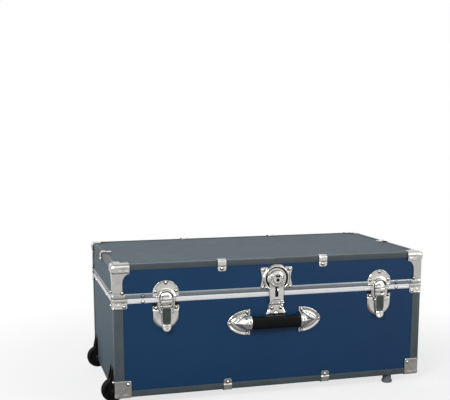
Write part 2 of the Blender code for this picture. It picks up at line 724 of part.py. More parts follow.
def hasp():
    """The hasp: a knuckle, a slotted arm and a round head that holds the lock."""
    out, low = HASP_PIVOT
    near, far = out + ARM_OUT[0], out + ARM_OUT[1]
    arm = block((-HASP_HALF, HASP_HALF), (-near, -far), (low + KNUCKLE + 0.0005, LOCK_CENTRE - 0.004))
    made = cut(arm, block((-SLOT_HALF, SLOT_HALF), (-FAR, FAR), SLOT))
    back = near - LAYER_GAP
    profile = [(0, back), (HEAD_RADIUS, back), (HEAD_RADIUS, 0.0090), (HEAD_RADIUS - 0.0030, 0.0118)]
    joined(made, turned([*profile, (0, HEAD_OUT)], (0, LOCK_CENTRE), 24))
    middle = KNUCKLE_HALF
    joined(made, rod((-middle, -out, low), (middle, -out, low), KNUCKLE, 16))
    neck = (low + 0.0005, low + KNUCKLE + 0.0020)
    joined(made, block((-middle, middle), (-near - GAP, -far + GAP), neck))
    bore = rod((-FAR, -out, low), (FAR, -out, low), PIN_HOLE)
    hole = PLUG_RADIUS + LAYER_GAP
    seat = turned(((0, -FAR), (hole, -FAR), (hole, FAR), (0, FAR)), (0, LOCK_CENTRE), 24)
    return cut(made, bore, seat)


def lock_plug():
    """The lock's plug: a disc with a keyway, and a tail that turns behind the lock plate."""
    back, face = PLUG_OUT
    made = turned(((0, back), (PLUG_RADIUS, back), (PLUG_RADIUS, face), (0, face)), (0, LOCK_CENTRE), 24)
    x, z = TAIL
    deep, shallow = TAIL_DEPTH
    middle = (deep + shallow) / 2
    shank = rod((0, middle, LOCK_CENTRE), (0, -back - NEAR / 10, LOCK_CENTRE), x - GAP)
    tail = block((-x, x), (shallow, deep), (LOCK_CENTRE - z, LOCK_CENTRE + z))
    keyway = block((-0.0011, 0.0011), (-FAR, -0.0070), (LOCK_CENTRE - 0.0020, LOCK_CENTRE + 0.0065))
    return cut(joined(made, shank, tail), keyway)


def hasp_hinge():
    """The flared plate under the rim that carries the hasp."""
    out, low = HASP_PIVOT
    inner, outer = KNUCKLE_HALF + 0.0004, HASP_HALF - LAYER_GAP
    outline = [(-outer, low - 0.0005), (-outer, low - 0.0110), (-0.0250, 0.1960), (-0.0235, 0.1935)]
    made = plate([*outline, *[(-x, z) for x, z in reversed(outline)]], GAP, PLATE_OUT)
    relief = inner - GAP / 2
    cut(made, block((-relief, relief), (-FAR, FAR), (low - KNUCKLE - 0.0004, low + NEAR)))
    knuckles = [rod((s * inner, -out, low), (s * outer, -out, low), KNUCKLE, 16) for s in (-1, 1)]
    joined(made, *knuckles, rod((GAP - outer, -out, low), (outer - GAP, -out, low), PIN))
    root = PLATE_OUT / 2
    lump = turned(((0, root), (0.0050, root), (0.0036, 0.0030), (0, 0.0038)), (0, 0.1985), 12)
    return joined(made, lump, *[rivet(x, z, PLATE_OUT) for x, z in HINGE_PLATE_RIVETS])


def lock(trunk):
    hasp_pivot = CATCHES @ Vector((0, -HASP_PIVOT[0], HASP_PIVOT[1]))
    plug_pivot = CATCHES @ Vector((0, 0, LOCK_CENTRE))
    trunk.add("lock_plate", placed(lock_plate(), CATCHES), "nickel")
    trunk.add("hasp_hinge_plate", placed(hasp_hinge(), CATCHES), "nickel")
    trunk.add("hasp", placed(hasp(), CATCHES), "nickel", hasp_pivot)
    trunk.add("lock_plug", placed(lock_plug(), CATCHES), "steel", plug_pivot)


# Handles, drawn round x = 0 in a wall's frame


def handle_cap(side):
    """One end of a handle: an arrow-shaped plate with a hollow ridge that opens towards the grip."""
    mouth, tip = HANDLE_MOUTH, HANDLE_TIP
    steps = [i / 6 for i in range(6)]
    edge = [(mouth + (tip - mouth) * t, HANDLE_HALF * (1 - t**CAP_CURVE)) for t in steps]
    outline = [(side * x, HANDLE_Z + z) for x, z in edge]
    outline += [(side * tip, HANDLE_Z)]
    outline += [(side * x, HANDLE_Z - z) for x, z in reversed(edge)]
    made = plate(outline, GAP, PLATE_OUT)
    joined(made, ridge(side, (mouth, tip - 0.010), RIDGE_HALF, HANDLE_OUT, PLATE_OUT / 2))
    pocket_half = RIDGE_HALF - 0.0020
    cut(made, ridge(side, (mouth - 0.004, tip - 0.022), pocket_half, HANDLE_OUT - RIDGE_WALL, -CAP_IN))
    places = ((tip - 0.005, 0), (mouth + 0.0065, 0.0255), (mouth + 0.0065, -0.0255))
    return joined(made, *[rivet(side * x, HANDLE_Z + z, PLATE_OUT, CAP_RIVET) for x, z in places])


def ridge(side, span, half, height, base):
    """A half-round ridge that narrows and sinks from the start of its span to the end."""
    bm = bmesh.new()
    loops = []
    turn = [pi * i / 8 for i in range(9)]
    for x, scale in ((span[0], 1.0), (sum(span) / 2, 0.72), (span[1], 0.12)):
        loop = [(half * scale * cos(a), base + (height - base) * scale * sin(a)) for a in turn]
        loops.append([bm.verts.new((side * x, -out, HANDLE_Z + z)) for z, out in loop])
    for here, after in zip(loops, loops[1:]):
        for i in range(len(here)):
            j = (i + 1) % len(here)
            bm.faces.new((here[i], here[j], after[j], after[i]))
    bm.faces.new(loops[0])
    bm.faces.new(list(reversed(loops[-1])))
    return shape(bm)


def grip():
    """The moulded grip, with the ends of its strap inside the two caps."""
    near, far, half = GRIP_IN, HANDLE_OUT, GRIP_HALF_HEIGHT
    middle = (near + far) / 2
    turn = [2 * pi * i / 16 for i in range(16)]
    loop = [(middle + (far - near) / 2 * cos(a), HANDLE_Z + half * sin(a)) for a in turn]
    bm = bmesh.new()
    face = bm.faces.new([bm.verts.new((-GRIP_HALF, -out, z)) for out, z in loop])
    extrude(bm, face, (2 * GRIP_HALF, 0, 0))
    made = shape(bm)
    length, width = STRAP_HALF
    strap = block((-length, length), (-STRAP[1], -STRAP[0]), (HANDLE_Z - width, HANDLE_Z + width))
    return joined(made, strap)


def handles(trunk):
    for name, wall, sides in (("front", FRONT, ("left", "right")), ("end", RIGHT, ("front", "rear"))):
        for side, sign in zip(sides, (-1, 1)):
            trunk.add(f"{name}_handle_{side}_cap", placed(handle_cap(sign), wall), "nickel")
        pivot = wall @ Vector((0, -HANDLE_OUT / 2, HANDLE_Z))
        trunk.add(f"{name}_handle_grip", placed(grip(), wall), "black_plastic", pivot)


# Hinges, drawn round x = 0 in the rear wall's frame


def hinge_leaf(side, spans):
    """One leaf with its knuckles: side is -1 on the body and 1 on the lid."""
    start = SEAM + side * (BAND + 0.0006)
    end = SEAM + side * LEAF_LENGTH
    shoulder = end - side * LEAF_CHAMFER
    wide, narrow = LEAF_HALF, LEAF_HALF - LEAF_CHAMFER
    outline = [(-wide, start), (wide, start), (wide, shoulder), (narrow, end)]
    outline += [(-narrow, end), (-wide, shoulder)]
    made = plate(outline, GAP, CAP_IN)
    near, far = NECK_OUT
    neck_end = start + side * 0.0030
    for low, high in spans:
        neck = block((low, high), (-far, -near), (SEAM + side * 0.0005, neck_end))
        step = block((low, high), (-far, -0.0010), (start + side * 0.0010, neck_end))
        joined(made, neck, step, rod((low, -HINGE_OUT, SEAM), (high, -HINGE_OUT, SEAM), HINGE_KNUCKLE, 16))
    places = [(x, SEAM + side * LEAF_RIVET[1]) for x in (-LEAF_RIVET[0], LEAF_RIVET[0])]
    return joined(made, *[rivet(x, z, CAP_IN) for x, z in places])


def hinges(trunk):
    pin = (-HINGE_OUT, SEAM)
    for place, x in (("left", -HINGE_X), ("right", HINGE_X)):
        at = REAR @ Matrix.Translation((-x, 0, 0))
        body_spans = ((-0.0200, -0.0082), (0.0082, 0.0200))
        body_leaf = joined(hinge_leaf(-1, body_spans), rod((-0.0195, *pin), (0.0195, *pin), PIN))
        lid_leaf = cut(hinge_leaf(1, ((-0.0078, 0.0078),)), rod((-FAR, *pin), (FAR, *pin), PIN_HOLE))
        trunk.add(f"{place}_hinge_body_leaf", placed(body_leaf, at), "steel")
        trunk.add(f"{place}_hinge_lid_leaf", placed(lid_leaf, at), "steel")


# Wheels and feet


def cheek_outline():
    """A well's side plate, round the wheel's centre: the well inside, and fins that run up and under."""
    inside = arc((0, 0), 0.0335, 0, 90, 6)
    fin = [(-0.0012, 0.0365), (-0.0012, 0.0600), (-0.0050, 0.0440), (-0.0088, 0.0290), (-0.0115, 0.0140)]
    hub = arc((0, 0), 0.0125, 180, 285, 6)
    under = [(0.0240, -0.0098), (0.0480, -0.0066), (0.0335, -0.0062)]
    return [*inside, *fin, *hub, *under]


def wheel_well():
    """The well round one wheel, drawn with its wheel at the origin and its axle along y."""
    inner, outer = WELL_HALF, WELL_HALF + CHEEK
    bow = [*arc((0, 0), WELL_OUTER, 1, 89, 8), *arc((0, 0), WELL_INNER, 89, 1, 8)]
    made = plate(bow, -inner - 0.001, inner + 0.001)
    joined(made, plate(cheek_outline(), inner, outer), plate(cheek_outline(), -outer, -inner))
    return cut(made, rod((0, -FAR, 0), (0, FAR, 0), AXLE + LAYER_GAP, 16))


def axle():
    head = WELL_HALF + CHEEK + LAYER_GAP
    made = rod((0, -head - AXLE_HEAD_DEPTH / 2, 0), (0, head + AXLE_HEAD_DEPTH / 2, 0), AXLE, 16)
    ends = [(0, s * (head + AXLE_HEAD_DEPTH), 0) for s in (-1, 1)]
    return joined(made, *[rod((0, s * head, 0), end, AXLE_HEAD, 6) for s, end in zip((-1, 1), ends)])


def wheel():
    half, bore = WHEEL_WIDTH / 2, AXLE + LAYER_GAP
    tread = WHEEL_RADIUS
    profile = [(bore, -half), (0.0150, -half), (0.0160, -half + 0.0015), (0.0215, -half + 0.0005)]
    profile += [(tread - 0.0015, -half + 0.004), (tread, -0.004)]
    profile += [(r, -out) for r, out in reversed(profile)]
    return turned(profile, (0, 0), 24)


def wheels(trunk):
    for name, side in (("front", -1), ("rear", 1)):
        centre = Vector((WHEEL_X, side * WHEEL_Y, WHEEL_RADIUS))
        at = Matrix.Translation(centre)
        trunk.add(f"{name}_wheel_well", placed(wheel_well(), at), "black_plastic")
        trunk.add(f"{name}_wheel_axle", placed(axle(), at), "steel")
        trunk.add(f"{name}_wheel", placed(wheel(), at), "black_rubber", centre)


def feet(trunk):
    top = BOX_BOTTOM - BINDING_OUT - GAP
    for name, side in (("front", -1), ("rear", 1)):
        made = rod((FOOT_X, side * FOOT_Y, 0), (FOOT_X, side * FOOT_Y, top), FOOT_RADIUS, 24)
        trunk.add(f"{name}_foot", made, "grey_plastic")


def main():
    for old in list(bpy.data.objects):
        bpy.data.objects.remove(old)
    trunk = Trunk()
    boards(trunk)
    rims(trunk)
    bindings(trunk)
    caps(trunk)
    draw_bolts(trunk)
    lock(trunk)
    handles(trunk)
    hinges(trunk)
    wheels(trunk)
    feet(trunk)


main()
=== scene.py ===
"""The looks of a wheeled footlocker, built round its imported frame.

Metres, +Z up. Hardware is drawn in the frame of the wall that it is fixed to: x along the wall, z up and
-y out of it. A sheet's height is how far its outer face stands out of the board's face. Outlines on a wall
are (x, z) points, the profiles of turned parts are (radius, out), and the rims' sections are (out, z).
"""

from math import cos, hypot, pi, radians, sin, sqrt

import bmesh
import bpy
from mathutils import Matrix, Vector

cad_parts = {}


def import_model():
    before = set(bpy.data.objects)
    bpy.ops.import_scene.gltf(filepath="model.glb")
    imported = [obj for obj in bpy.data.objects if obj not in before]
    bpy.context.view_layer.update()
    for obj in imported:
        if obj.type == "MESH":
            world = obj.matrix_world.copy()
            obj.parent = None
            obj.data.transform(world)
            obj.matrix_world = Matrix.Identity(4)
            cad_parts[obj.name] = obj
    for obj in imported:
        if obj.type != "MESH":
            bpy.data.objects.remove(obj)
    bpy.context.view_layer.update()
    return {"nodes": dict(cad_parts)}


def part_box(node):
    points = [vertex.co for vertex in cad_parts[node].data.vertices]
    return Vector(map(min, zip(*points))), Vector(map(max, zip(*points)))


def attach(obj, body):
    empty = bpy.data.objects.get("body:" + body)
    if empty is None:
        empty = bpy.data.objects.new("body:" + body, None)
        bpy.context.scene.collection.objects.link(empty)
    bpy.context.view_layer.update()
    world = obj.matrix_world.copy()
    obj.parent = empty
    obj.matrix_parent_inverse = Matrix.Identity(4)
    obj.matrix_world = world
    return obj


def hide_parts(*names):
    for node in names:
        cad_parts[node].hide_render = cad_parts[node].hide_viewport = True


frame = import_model()

# The board box, read from the frame
LEFT_X, FRONT_Y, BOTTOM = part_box("body_bottom_panel")[0]
RIGHT_X, REAR_Y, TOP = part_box("lid_top_panel")[1]
SEAM = (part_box("body_rim_corner_front_left")[1][2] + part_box("lid_corner_cap_front_left")[0][2]) / 2
CX, CY = (LEFT_X + RIGHT_X) / 2, (FRONT_Y + REAR_Y) / 2
HALF_X, HALF_Y = (RIGHT_X - LEFT_X) / 2, (REAR_Y - FRONT_Y) / 2

FRONT = Matrix.Translation((CX, FRONT_Y, 0))
REAR = Matrix.Translation((CX, REAR_Y, 0)) @ Matrix.Rotation(pi, 4, "Z")
RIGHT = Matrix.Translation((RIGHT_X, CY, 0)) @ Matrix.Rotation(pi / 2, 4, "Z")
LEFT = Matrix.Translation((LEFT_X, CY, 0)) @ Matrix.Rotation(-pi / 2, 4, "Z")
CORNERS = {"front_left": (-1, -1), "front_right": (1, -1), "rear_left": (-1, 1), "rear_right": (1, 1)}

BAND = 0.0115  # height of each rim's face, above and below the seam
EDGE = 0.0004  # rounding of a sheet's edges


def middle(node):
    """The middle of a CAD node's box."""
    low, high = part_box(node)
    return [(a + b) / 2 for a, b in zip(low, high)]


# Materials


class Nodes:
    """Makes and joins the nodes of one tree."""

    def __init__(self, tree):
        self.tree = tree

    def node(self, kind, **values):
        made = self.tree.nodes.new(kind)
        for key, value in values.items():
            setattr(made, key, value)
        return made

    def link(self, source, target):
        self.tree.links.new(source, target)

    def ramp(self, value, *stops):
        """A colour ramp through (position, colour) stops, where a colour may be one grey number."""
        made = self.node("ShaderNodeValToRGB")
        elements = made.color_ramp.elements
        while len(elements) < len(stops):
            elements.new(1.0)
        for element, (position, colour) in zip(elements, stops):
            element.position = position
            element.color = (*colour, 1) if isinstance(colour, tuple) else (colour, colour, colour, 1)
        self.link(value, made.inputs["Fac"])
        return made.outputs["Color"]

    def mixed(self, first, second, factor, blend="MULTIPLY"):
        """Two colours mixed. Each of the three values is a socket, a number or a colour."""
        made = self.node("ShaderNodeMix", data_type="RGBA", blend_type=blend)
        for socket, value in ((made.inputs[0], factor), (made.inputs[6], first), (made.inputs[7], second)):
            if isinstance(value, (int, float)):
                socket.default_value = value
            elif isinstance(value, tuple):
                socket.default_value = (*value, 1)
            else:
                self.link(value, socket)
        return made.outputs[2]

    def either(self, factor, first, second):
        """The first shader where the factor is 0, and the second where it is 1."""
        made = self.node("ShaderNodeMixShader")
        for socket, value in zip(made.inputs, (factor, first, second)):
            self.link(value, socket)
        return made.outputs["Shader"]


class Shader(Nodes):
    """A Principled material whose colour, roughness and bump come from procedural nodes."""

    def __init__(self, name, roughness, metallic=0.0, specular=0.5):
        self.material = bpy.data.materials.new(name)
        self.material.use_nodes = True
        super().__init__(self.material.node_tree)
        self.main = self.tree.nodes["Principled BSDF"]
        self.main.inputs["Roughness"].default_value = roughness
        self.main.inputs["Metallic"].default_value = metallic
        self.main.inputs["Specular IOR Level"].default_value = specular
        self.place = self.node("ShaderNodeTexCoord").outputs["Object"]

    def stretched(self, scale):
        made = self.node("ShaderNodeMapping")
        made.inputs["Scale"].default_value = scale
        self.link(self.place, made.inputs["Vector"])
        return made.outputs["Vector"]

    def noise(self, scale, detail=3.0, rough=0.5, stretch=None):
        made = self.node("ShaderNodeTexNoise")
        made.inputs["Scale"].default_value = scale
        made.inputs["Detail"].default_value = detail
        made.inputs["Roughness"].default_value = rough
        self.link(self.stretched(stretch) if stretch else self.place, made.inputs["Vector"])
        return made.outputs["Fac"]

    def cells(self, scale, feature="F1", stretch=None):
        made = self.node("ShaderNodeTexVoronoi", feature=feature)
        made.inputs["Scale"].default_value = scale
        self.link(self.stretched(stretch) if stretch else self.place, made.inputs["Vector"])
        return made.outputs["Distance"]

    def painted_shade(self, distance, dark, open_at=0.85):
        """Painted shade: the colour darkens where another surface is close, read from ambient occlusion."""
        made = self.node("ShaderNodeAmbientOcclusion", samples=8)
        made.inputs["Distance"].default_value = distance
        return self.ramp(made.outputs["AO"], (open_at - 0.5, dark), (open_at, 1.0))

    def colour(self, source):
        self.link(source, self.main.inputs["Base Color"])

    def roughness(self, source, low, high):
        made = self.node("ShaderNodeMapRange")
        made.inputs["To Min"].default_value = low
        made.inputs["To Max"].default_value = high
        self.link(source, made.inputs["Value"])
        self.link(made.outputs["Result"], self.main.inputs["Roughness"])

    def bump(self, *layers):
        """Stacks bumps, each a (source, distance in metres, strength)."""
        normal = None
        for source, distance, strength in layers:
            made = self.node("ShaderNodeBump")
            made.inputs["Distance"].default_value = distance
            made.inputs["Strength"].default_value = strength
            self.link(source, made.inputs["Height"])
            if normal:
                self.link(normal, made.inputs["Normal"])
            normal = made.outputs["Normal"]
        self.link(normal, self.main.inputs["Normal"])


def vinyl(name, dark, light, roughness, specular=0.18):
    """Vinyl film with a fine leather grain over slightly uneven board."""
    made = Shader(name, roughness, specular=specular)
    patches = made.noise(7.0, 4.0, 0.55)
    grain = made.cells(1500.0)
    base = made.ramp(patches, (0.3, dark), (0.7, light))
    pores = made.ramp(grain, (0.0, 0.80), (0.55, 1.0))
    made.colour(made.mixed(base, pores, 1.0))
    made.roughness(made.noise(40.0, 5.0, 0.6), roughness - 0.07, roughness + 0.07)
    unevenness, fibres = made.noise(12.0, 2.0), made.noise(2600.0, 2.0)
    made.bump((unevenness, 0.0010, 0.10), (grain, 0.00012, 0.5), (fibres, 0.0001, 0.25))
    return made.material


def metal(name, dark, light, roughness, painted_shade=0.45, wave=0.10, stretch=None, metallic=1.0):
    """Plated or bare sheet metal: uneven gloss, soft pressing waves, hairline marks and painted shade in
    narrow gaps.
    """
    made = Shader(name, roughness, metallic)
    tone = made.ramp(made.noise(55.0, 4.0, 0.6, stretch), (0.3, dark), (0.7, light))
    # Painted shade: the tone darkens where other surfaces are close.
    made.colour(made.mixed(tone, made.painted_shade(0.0038, painted_shade, 0.93), 1.0))
    marks = made.noise(420.0, 6.0, 0.7, stretch or (1.0, 0.35, 0.08))
    made.roughness(marks, roughness * 0.65, roughness * 1.35)
    made.bump((made.noise(75.0, 1.0), 0.0010, wave), (marks, 0.00004, 0.3))
    return made.material


def painted(name, dark, light, roughness):
    """Enamelled metal: a satin film with faint orange peel, and painted shade where other surfaces are
    close.
    """
    made = Shader(name, roughness, specular=0.5)
    tone = made.ramp(made.noise(30.0, 5.0, 0.6), (0.3, dark), (0.7, light))
    # Painted shade: the tone darkens where other surfaces are close.
    made.colour(made.mixed(tone, made.painted_shade(0.0020, 0.6), 1.0))
    made.roughness(made.noise(90.0, 4.0), roughness - 0.08, roughness + 0.08)
    made.bump((made.noise(45.0, 1.0), 0.0006, 0.12), (made.noise(900.0, 2.0), 0.00004, 0.4))
    return made.material


def moulded(name, dark, light, roughness, grain, specular=0.14):
    """Moulded plastic or rubber with a fine spark-eroded texture."""
    made = Shader(name, roughness, specular=specular)
    made.colour(made.ramp(made.noise(60.0, 4.0), (0.3, dark), (0.7, light)))
    made.roughness(made.noise(180.0, 5.0), roughness - 0.08, roughness + 0.08)
    made.bump((made.noise(grain, 3.0, 0.6), 0.00008, 0.5), (made.noise(50.0, 1.0), 0.0004, 0.10))
    return made.material


def paper(name):
    """Grey lining paper printed all over with small dark and light squiggles."""
    made = Shader(name, 0.75, specular=0.2)
    ground = made.ramp(made.noise(9.0, 3.0), (0.3, (0.225, 0.240, 0.236)), (0.7, (0.265, 0.280, 0.274)))
    curls = made.noise(250.0, 2.0, 0.6)
    dark = made.ramp(curls, (0.34, 0.06), (0.41, 1.0), (0.56, 1.0), (0.58, 0.06), (0.64, 0.06), (0.66, 1.0))
    flecks = made.ramp(made.cells(230.0), (0.14, 1.0), (0.20, 0.0))
    printed = made.mixed(ground, dark, 1.0)
    made.colour(made.mixed(printed, (0.42, 0.44, 0.43), flecks, "MIX"))
    made.bump((made.noise(14.0, 2.0), 0.0010, 0.10), (made.noise(1500.0, 3.0), 0.00008, 0.3))
    return made.material


BLUE = vinyl("blue_vinyl", (0.0038, 0.0375, 0.1090), (0.0054, 0.0438, 0.1240), 0.48, 0.30)
GREY = vinyl("grey_vinyl", (0.067, 0.103, 0.134), (0.082, 0.123, 0.156), 0.52)
BINDING_GREY = painted("edge_binding", (0.046, 0.064, 0.074), (0.060, 0.081, 0.092), 0.42)
LINING = paper("lining_paper")
NICKEL = metal("nickel", (0.700, 0.685, 0.650), (0.820, 0.810, 0.780), 0.14, 0.16, 0.05)
CAP_NICKEL = metal("cap_nickel", (0.560, 0.552, 0.530), (0.660, 0.655, 0.632), 0.16, 0.16, 0.05)
# A darker copy of the nickel: painted dark reflection for the levers' channels.
SHADED_NICKEL = metal("nickel_channel_shade", (0.066, 0.082, 0.080), (0.105, 0.125, 0.120), 0.24, 0.35)
DRAWN = (0.1, 0.1, 4.0)  # stretches the marks along the rims
ALUMINIUM = metal("aluminium", (0.88, 0.89, 0.91), (0.95, 0.95, 0.96), 0.30, 0.5, 0.05, DRAWN, 0.25)
# A darker copy of the aluminium for the lid's rim: painted shade and dark reflection on the same metal as
# the body's rim.
SHADED_ALUMINIUM = metal("shaded_aluminium", (0.25, 0.29, 0.32), (0.34, 0.38, 0.41), 0.30, 0.5, 0.05, DRAWN, 0.6)
STEEL = metal("steel", (0.40, 0.40, 0.39), (0.50, 0.50, 0.48), 0.32)
# Near-black steel as painted shadow: the hollows by the bolts, the lock's groove, the slots' backs and the
# axles in the wheel wells.
SHADOW_STEEL = metal("painted_shadow_steel", (0.020, 0.020, 0.021), (0.030, 0.030, 0.031), 0.40)
# Painted shadow: the dark steel of the discs under the rivet heads.
SHADE = metal("rivet_shadow_steel", (0.055, 0.055, 0.056), (0.075, 0.075, 0.076), 0.45)
BLACK = moulded("black_plastic", (0.0030, 0.0032, 0.0036), (0.0048, 0.0050, 0.0055), 0.34, 1600.0)
RUBBER = moulded("black_rubber", (0.0030, 0.0030, 0.0032), (0.0055, 0.0055, 0.0056), 0.55, 900.0)
GREY_PLASTIC = moulded("grey_plastic", (0.140, 0.150, 0.160), (0.180, 0.190, 0.200), 0.50, 1200.0)

# Shapes


def as_object(bm, name="shape"):
    """The shape as an object in the scene. The shape itself is freed."""
    mesh = bpy.data.meshes.new(name)
    bm.to_mesh(mesh)
    bm.free()
    made = bpy.data.objects.new(name, mesh)
    bpy.context.scene.collection.objects.link(made)
    return made


def evaluated(guide):
    """The object's mesh with its modifiers, as a shape. The object is removed."""
    bpy.context.view_layer.update()
    seen = guide.evaluated_get(bpy.context.evaluated_depsgraph_get())
    bm = bmesh.new()
    bm.from_mesh(seen.to_mesh())
    seen.to_mesh_clear()
    mesh = guide.data
    bpy.data.objects.remove(guide)
    bpy.data.meshes.remove(mesh)
    return bm


def thick(bm, thickness, edge=EDGE):
    """A sheet given its thickness on the wall's side, with its edges rounded."""
    guide = as_object(bm)
    solid = guide.modifiers.new("solid", "SOLIDIFY")
    solid.thickness = thickness
    solid.offset = -1.0
    rounded(guide, edge)
    return evaluated(guide)


def rounded(guide, edge, segments=2, angle=50):
    """Rounds the edges that are sharper than an angle."""
    bevel = guide.modifiers.new("bevel", "BEVEL")
    bevel.width = edge
    bevel.segments = segments
    bevel.limit_method = "ANGLE"
    bevel.angle_limit = radians(angle)
    bevel.use_clamp_overlap = True


def moved(bm, matrix):
    bmesh.ops.transform(bm, matrix=matrix, verts=bm.verts)
    return bm


def at(x, z, out=0.0):
    """A place on a wall."""
    return Matrix.Translation((x, -out, z))


def both_halves(right):
    """A whole outline from its right half."""
    return [*right, *[(-x, z) for x, z in reversed(right)]]


def lofted(sections, closed=False):
    """A skin over sections that have as many points each: a closed round, or a row with its ends capped."""
    bm = bmesh.new()
    loops = [[bm.verts.new(point) for point in section] for section in sections]
    for here, after in zip(loops, loops[1:] + loops[:1] if closed else loops[1:]):
        for i in range(len(here)):
            j = (i + 1) % len(here)
            bm.faces.new((here[i], here[j], after[j], after[i]))
    if not closed:
        bm.faces.new(loops[0])
        bm.faces.new(loops[-1][::-1])
    bmesh.ops.recalc_face_normals(bm, faces=bm.faces)
    return bm


def arc(centre, radius, start, end, steps):
    """Points round part of a circle, with the angles in degrees."""
    turn = [radians(start + (end - start) * i / steps) for i in range(steps + 1)]
    return [(centre[0] + radius * cos(a), centre[1] + radius * sin(a)) for a in turn]


def smooth(value, start, end):
    """0 before start, 1 after end, and an even curve between them."""
    t = min(max((value - start) / (end - start), 0.0), 1.0)
    return t * t * (3 - 2 * t)


def bulge(value, centre, half):
    """1 at the centre, and 0 from half away on."""
    return 1 - smooth(abs(value - centre), 0, half)


def edge_distance(x, z, outline):
    """How far a point is from the outline."""
    best = 1.0
    for (ax, az), (bx, bz) in zip(outline, outline[1:] + outline[:1]):
        dx, dz = bx - ax, bz - az
        t = ((x - ax) * dx + (z - az) * dz) / (dx * dx + dz * dz)
        t = min(max(t, 0.0), 1.0)
        best = min(best, hypot(x - ax - t * dx, z - az - t * dz))
    return best


EDGE_RINGS = (0.0005, 0.0006, 0.0008)  # widths of the rings of faces along a sheet's edge


def gridded(bm, axis, low, high, step):
    """Cuts the faces with parallel planes a step apart."""
    count = max(int((high - low) / step), 1)
    for i in range(1, count):
        split(bm, axis, low + (high - low) * i / count)


def split(bm, axis, place):
    """Cuts the faces with a plane across an axis."""
    normal = [1.0 if i == axis else 0.0 for i in range(3)]
    point = [place * n for n in normal]
    geometry = [*bm.verts, *bm.edges, *bm.faces]
    bmesh.ops.bisect_plane(bm, geom=geometry, dist=1e-6, plane_co=point, plane_no=normal)


def pressed(outline, height, thickness=0.0010, step=0.0018, rings=EDGE_RINGS, holes=(), edge=EDGE):
    """Sheet metal pressed to a height(x, z, distance from the edge), with rectangular holes."""
    bm = bmesh.new()
    face = bm.faces.new([bm.verts.new((x, 0, z)) for x, z in outline])
    face.normal_update()
    if face.normal.y > 0:
        bmesh.ops.reverse_faces(bm, faces=[face])
    for width in rings:
        bmesh.ops.inset_region(bm, faces=[face], thickness=width, use_even_offset=True)
    xs, zs = [p[0] for p in outline], [p[1] for p in outline]
    gridded(bm, 0, min(xs), max(xs), step)
    gridded(bm, 2, min(zs), max(zs), step)
    for x0, x1, z0, z1 in holes:
        for axis, place in ((0, x0), (0, x1), (2, z0), (2, z1)):
            split(bm, axis, place)
        middles = [(f, f.calc_center_median()) for f in bm.faces]
        inside = [f for f, centre in middles if x0 < centre.x < x1 and z0 < centre.z < z1]
        bmesh.ops.delete(bm, geom=inside, context="FACES")
    for v in bm.verts:
        v.co.y = -height(v.co.x, v.co.z, edge_distance(v.co.x, v.co.z, outline))
    return thick(bm, thickness, edge)


def slab(outline, near, far, edge=EDGE, segments=2):
    """An outline thickened from near to far out of the wall, with rounded edges."""
    bm = bmesh.new()
    face = bm.faces.new([bm.verts.new((x, -near, z)) for x, z in outline])
    extruded = bmesh.ops.extrude_face_region(bm, geom=[face])["geom"]
    corners = [part for part in extruded if isinstance(part, bmesh.types.BMVert)]
    bmesh.ops.translate(bm, vec=(0, near - far, 0), verts=corners)
    bmesh.ops.recalc_face_normals(bm, faces=bm.faces)
    guide = as_object(bm)
    rounded(guide, edge, segments)
    return evaluated(guide)


def box(xs, outs, zs, edge=EDGE):
    """A block between two values on each axis, with rounded edges."""
    return slab([(xs[0], zs[0]), (xs[1], zs[0]), (xs[1], zs[1]), (xs[0], zs[1])], *outs, edge)


def turned(profile, segments=32, start=0.0, end=360.0):
    """A closed profile of (radius, out) points turned round the out axis, or part of the way round."""
    whole = end - start >= 360
    sections = []
    for i in range(segments if whole else segments + 1):
        a = radians(start + (end - start) * i / segments)
        sections.append([(r * cos(a), -out, r * sin(a)) for r, out in profile])
    bm = lofted(sections, whole)
    bmesh.ops.remove_doubles(bm, verts=bm.verts, dist=1e-6)
    bmesh.ops.dissolve_degenerate(bm, edges=bm.edges, dist=1e-6)
    bmesh.ops.recalc_face_normals(bm, faces=bm.faces)
    return bm


def dome(radius, out, height, segments=20):
    """A rivet or nail head over a small dark disc, set a little low, that paints its shadow. The disc's
    faces take the piece's second material.
    """
    buried, shadow_out, shadow_rim = 0.0008, 0.0005, 0.0010
    curve = [(radius * cos(radians(a)), out + height * sin(radians(a))) for a in (0, 20, 40, 58, 74)]
    shank = [(0, out - buried), (radius * 0.98, out - buried)]
    head = turned([*shank, *curve, (0, out + height)], segments)
    # Painted shadow: a dark disc round the head, moved down so that it shows as a dark crescent below it.
    wide, low, base = radius + shadow_rim, out + shadow_out, out - 0.0009
    disc = [(0, base), (wide, base), (wide, low - 0.0002), (wide - 0.0003, low), (0, low)]
    dimple = turned(disc, segments)
    for face in dimple.faces:
        face.material_index = 1
    return joined(head, moved(dimple, Matrix.Translation((0, 0, -0.0006))))


def joined(bm, *others):
    """Adds other shapes to a shape."""
    for other in others:
        mesh = bpy.data.meshes.new("part")
        other.to_mesh(mesh)
        other.free()
        bm.from_mesh(mesh)
        bpy.data.meshes.remove(mesh)
    return bm


def rivets(places, out, radius=0.0034, height=0.0034):
    """A rivet at each (x, z) place on a sheet that stands so far out."""
    return [moved(dome(radius, out, height), at(x, z)) for x, z in places]


def sweep(points, radii, segments=12):
    """A round bar through points, with one radius or a radius for each point."""
    points = [Vector(p) for p in points]
    radii = radii if isinstance(radii, list) else [radii] * len(points)
    turn = [2 * pi * k / segments for k in range(segments)]
    sections = []
    side = None
    for point, before, after, radius in zip(points, points[:1] + points, points[1:] + points[-1:], radii):
        along = (after - before).normalized()
        side = side or along.orthogonal()
        side = (side - along * side.dot(along)).normalized()
        up = along.cross(side)
        sections.append([point + (side * cos(a) + up * sin(a)) * radius for a in turn])
    return lofted(sections)


def rod(start, end, radius, segments=20, edge=0.0003):
    """A straight bar with rounded ends."""
    start, end = Vector(start), Vector(end)
    step = (end - start).normalized() * edge
    points = [start, start + step * 0.4, start + step, end - step, end - step * 0.4, end]
    small = radius - edge
    return sweep(points, [small, radius - edge * 0.3, radius, radius, radius - edge * 0.3, small], segments)


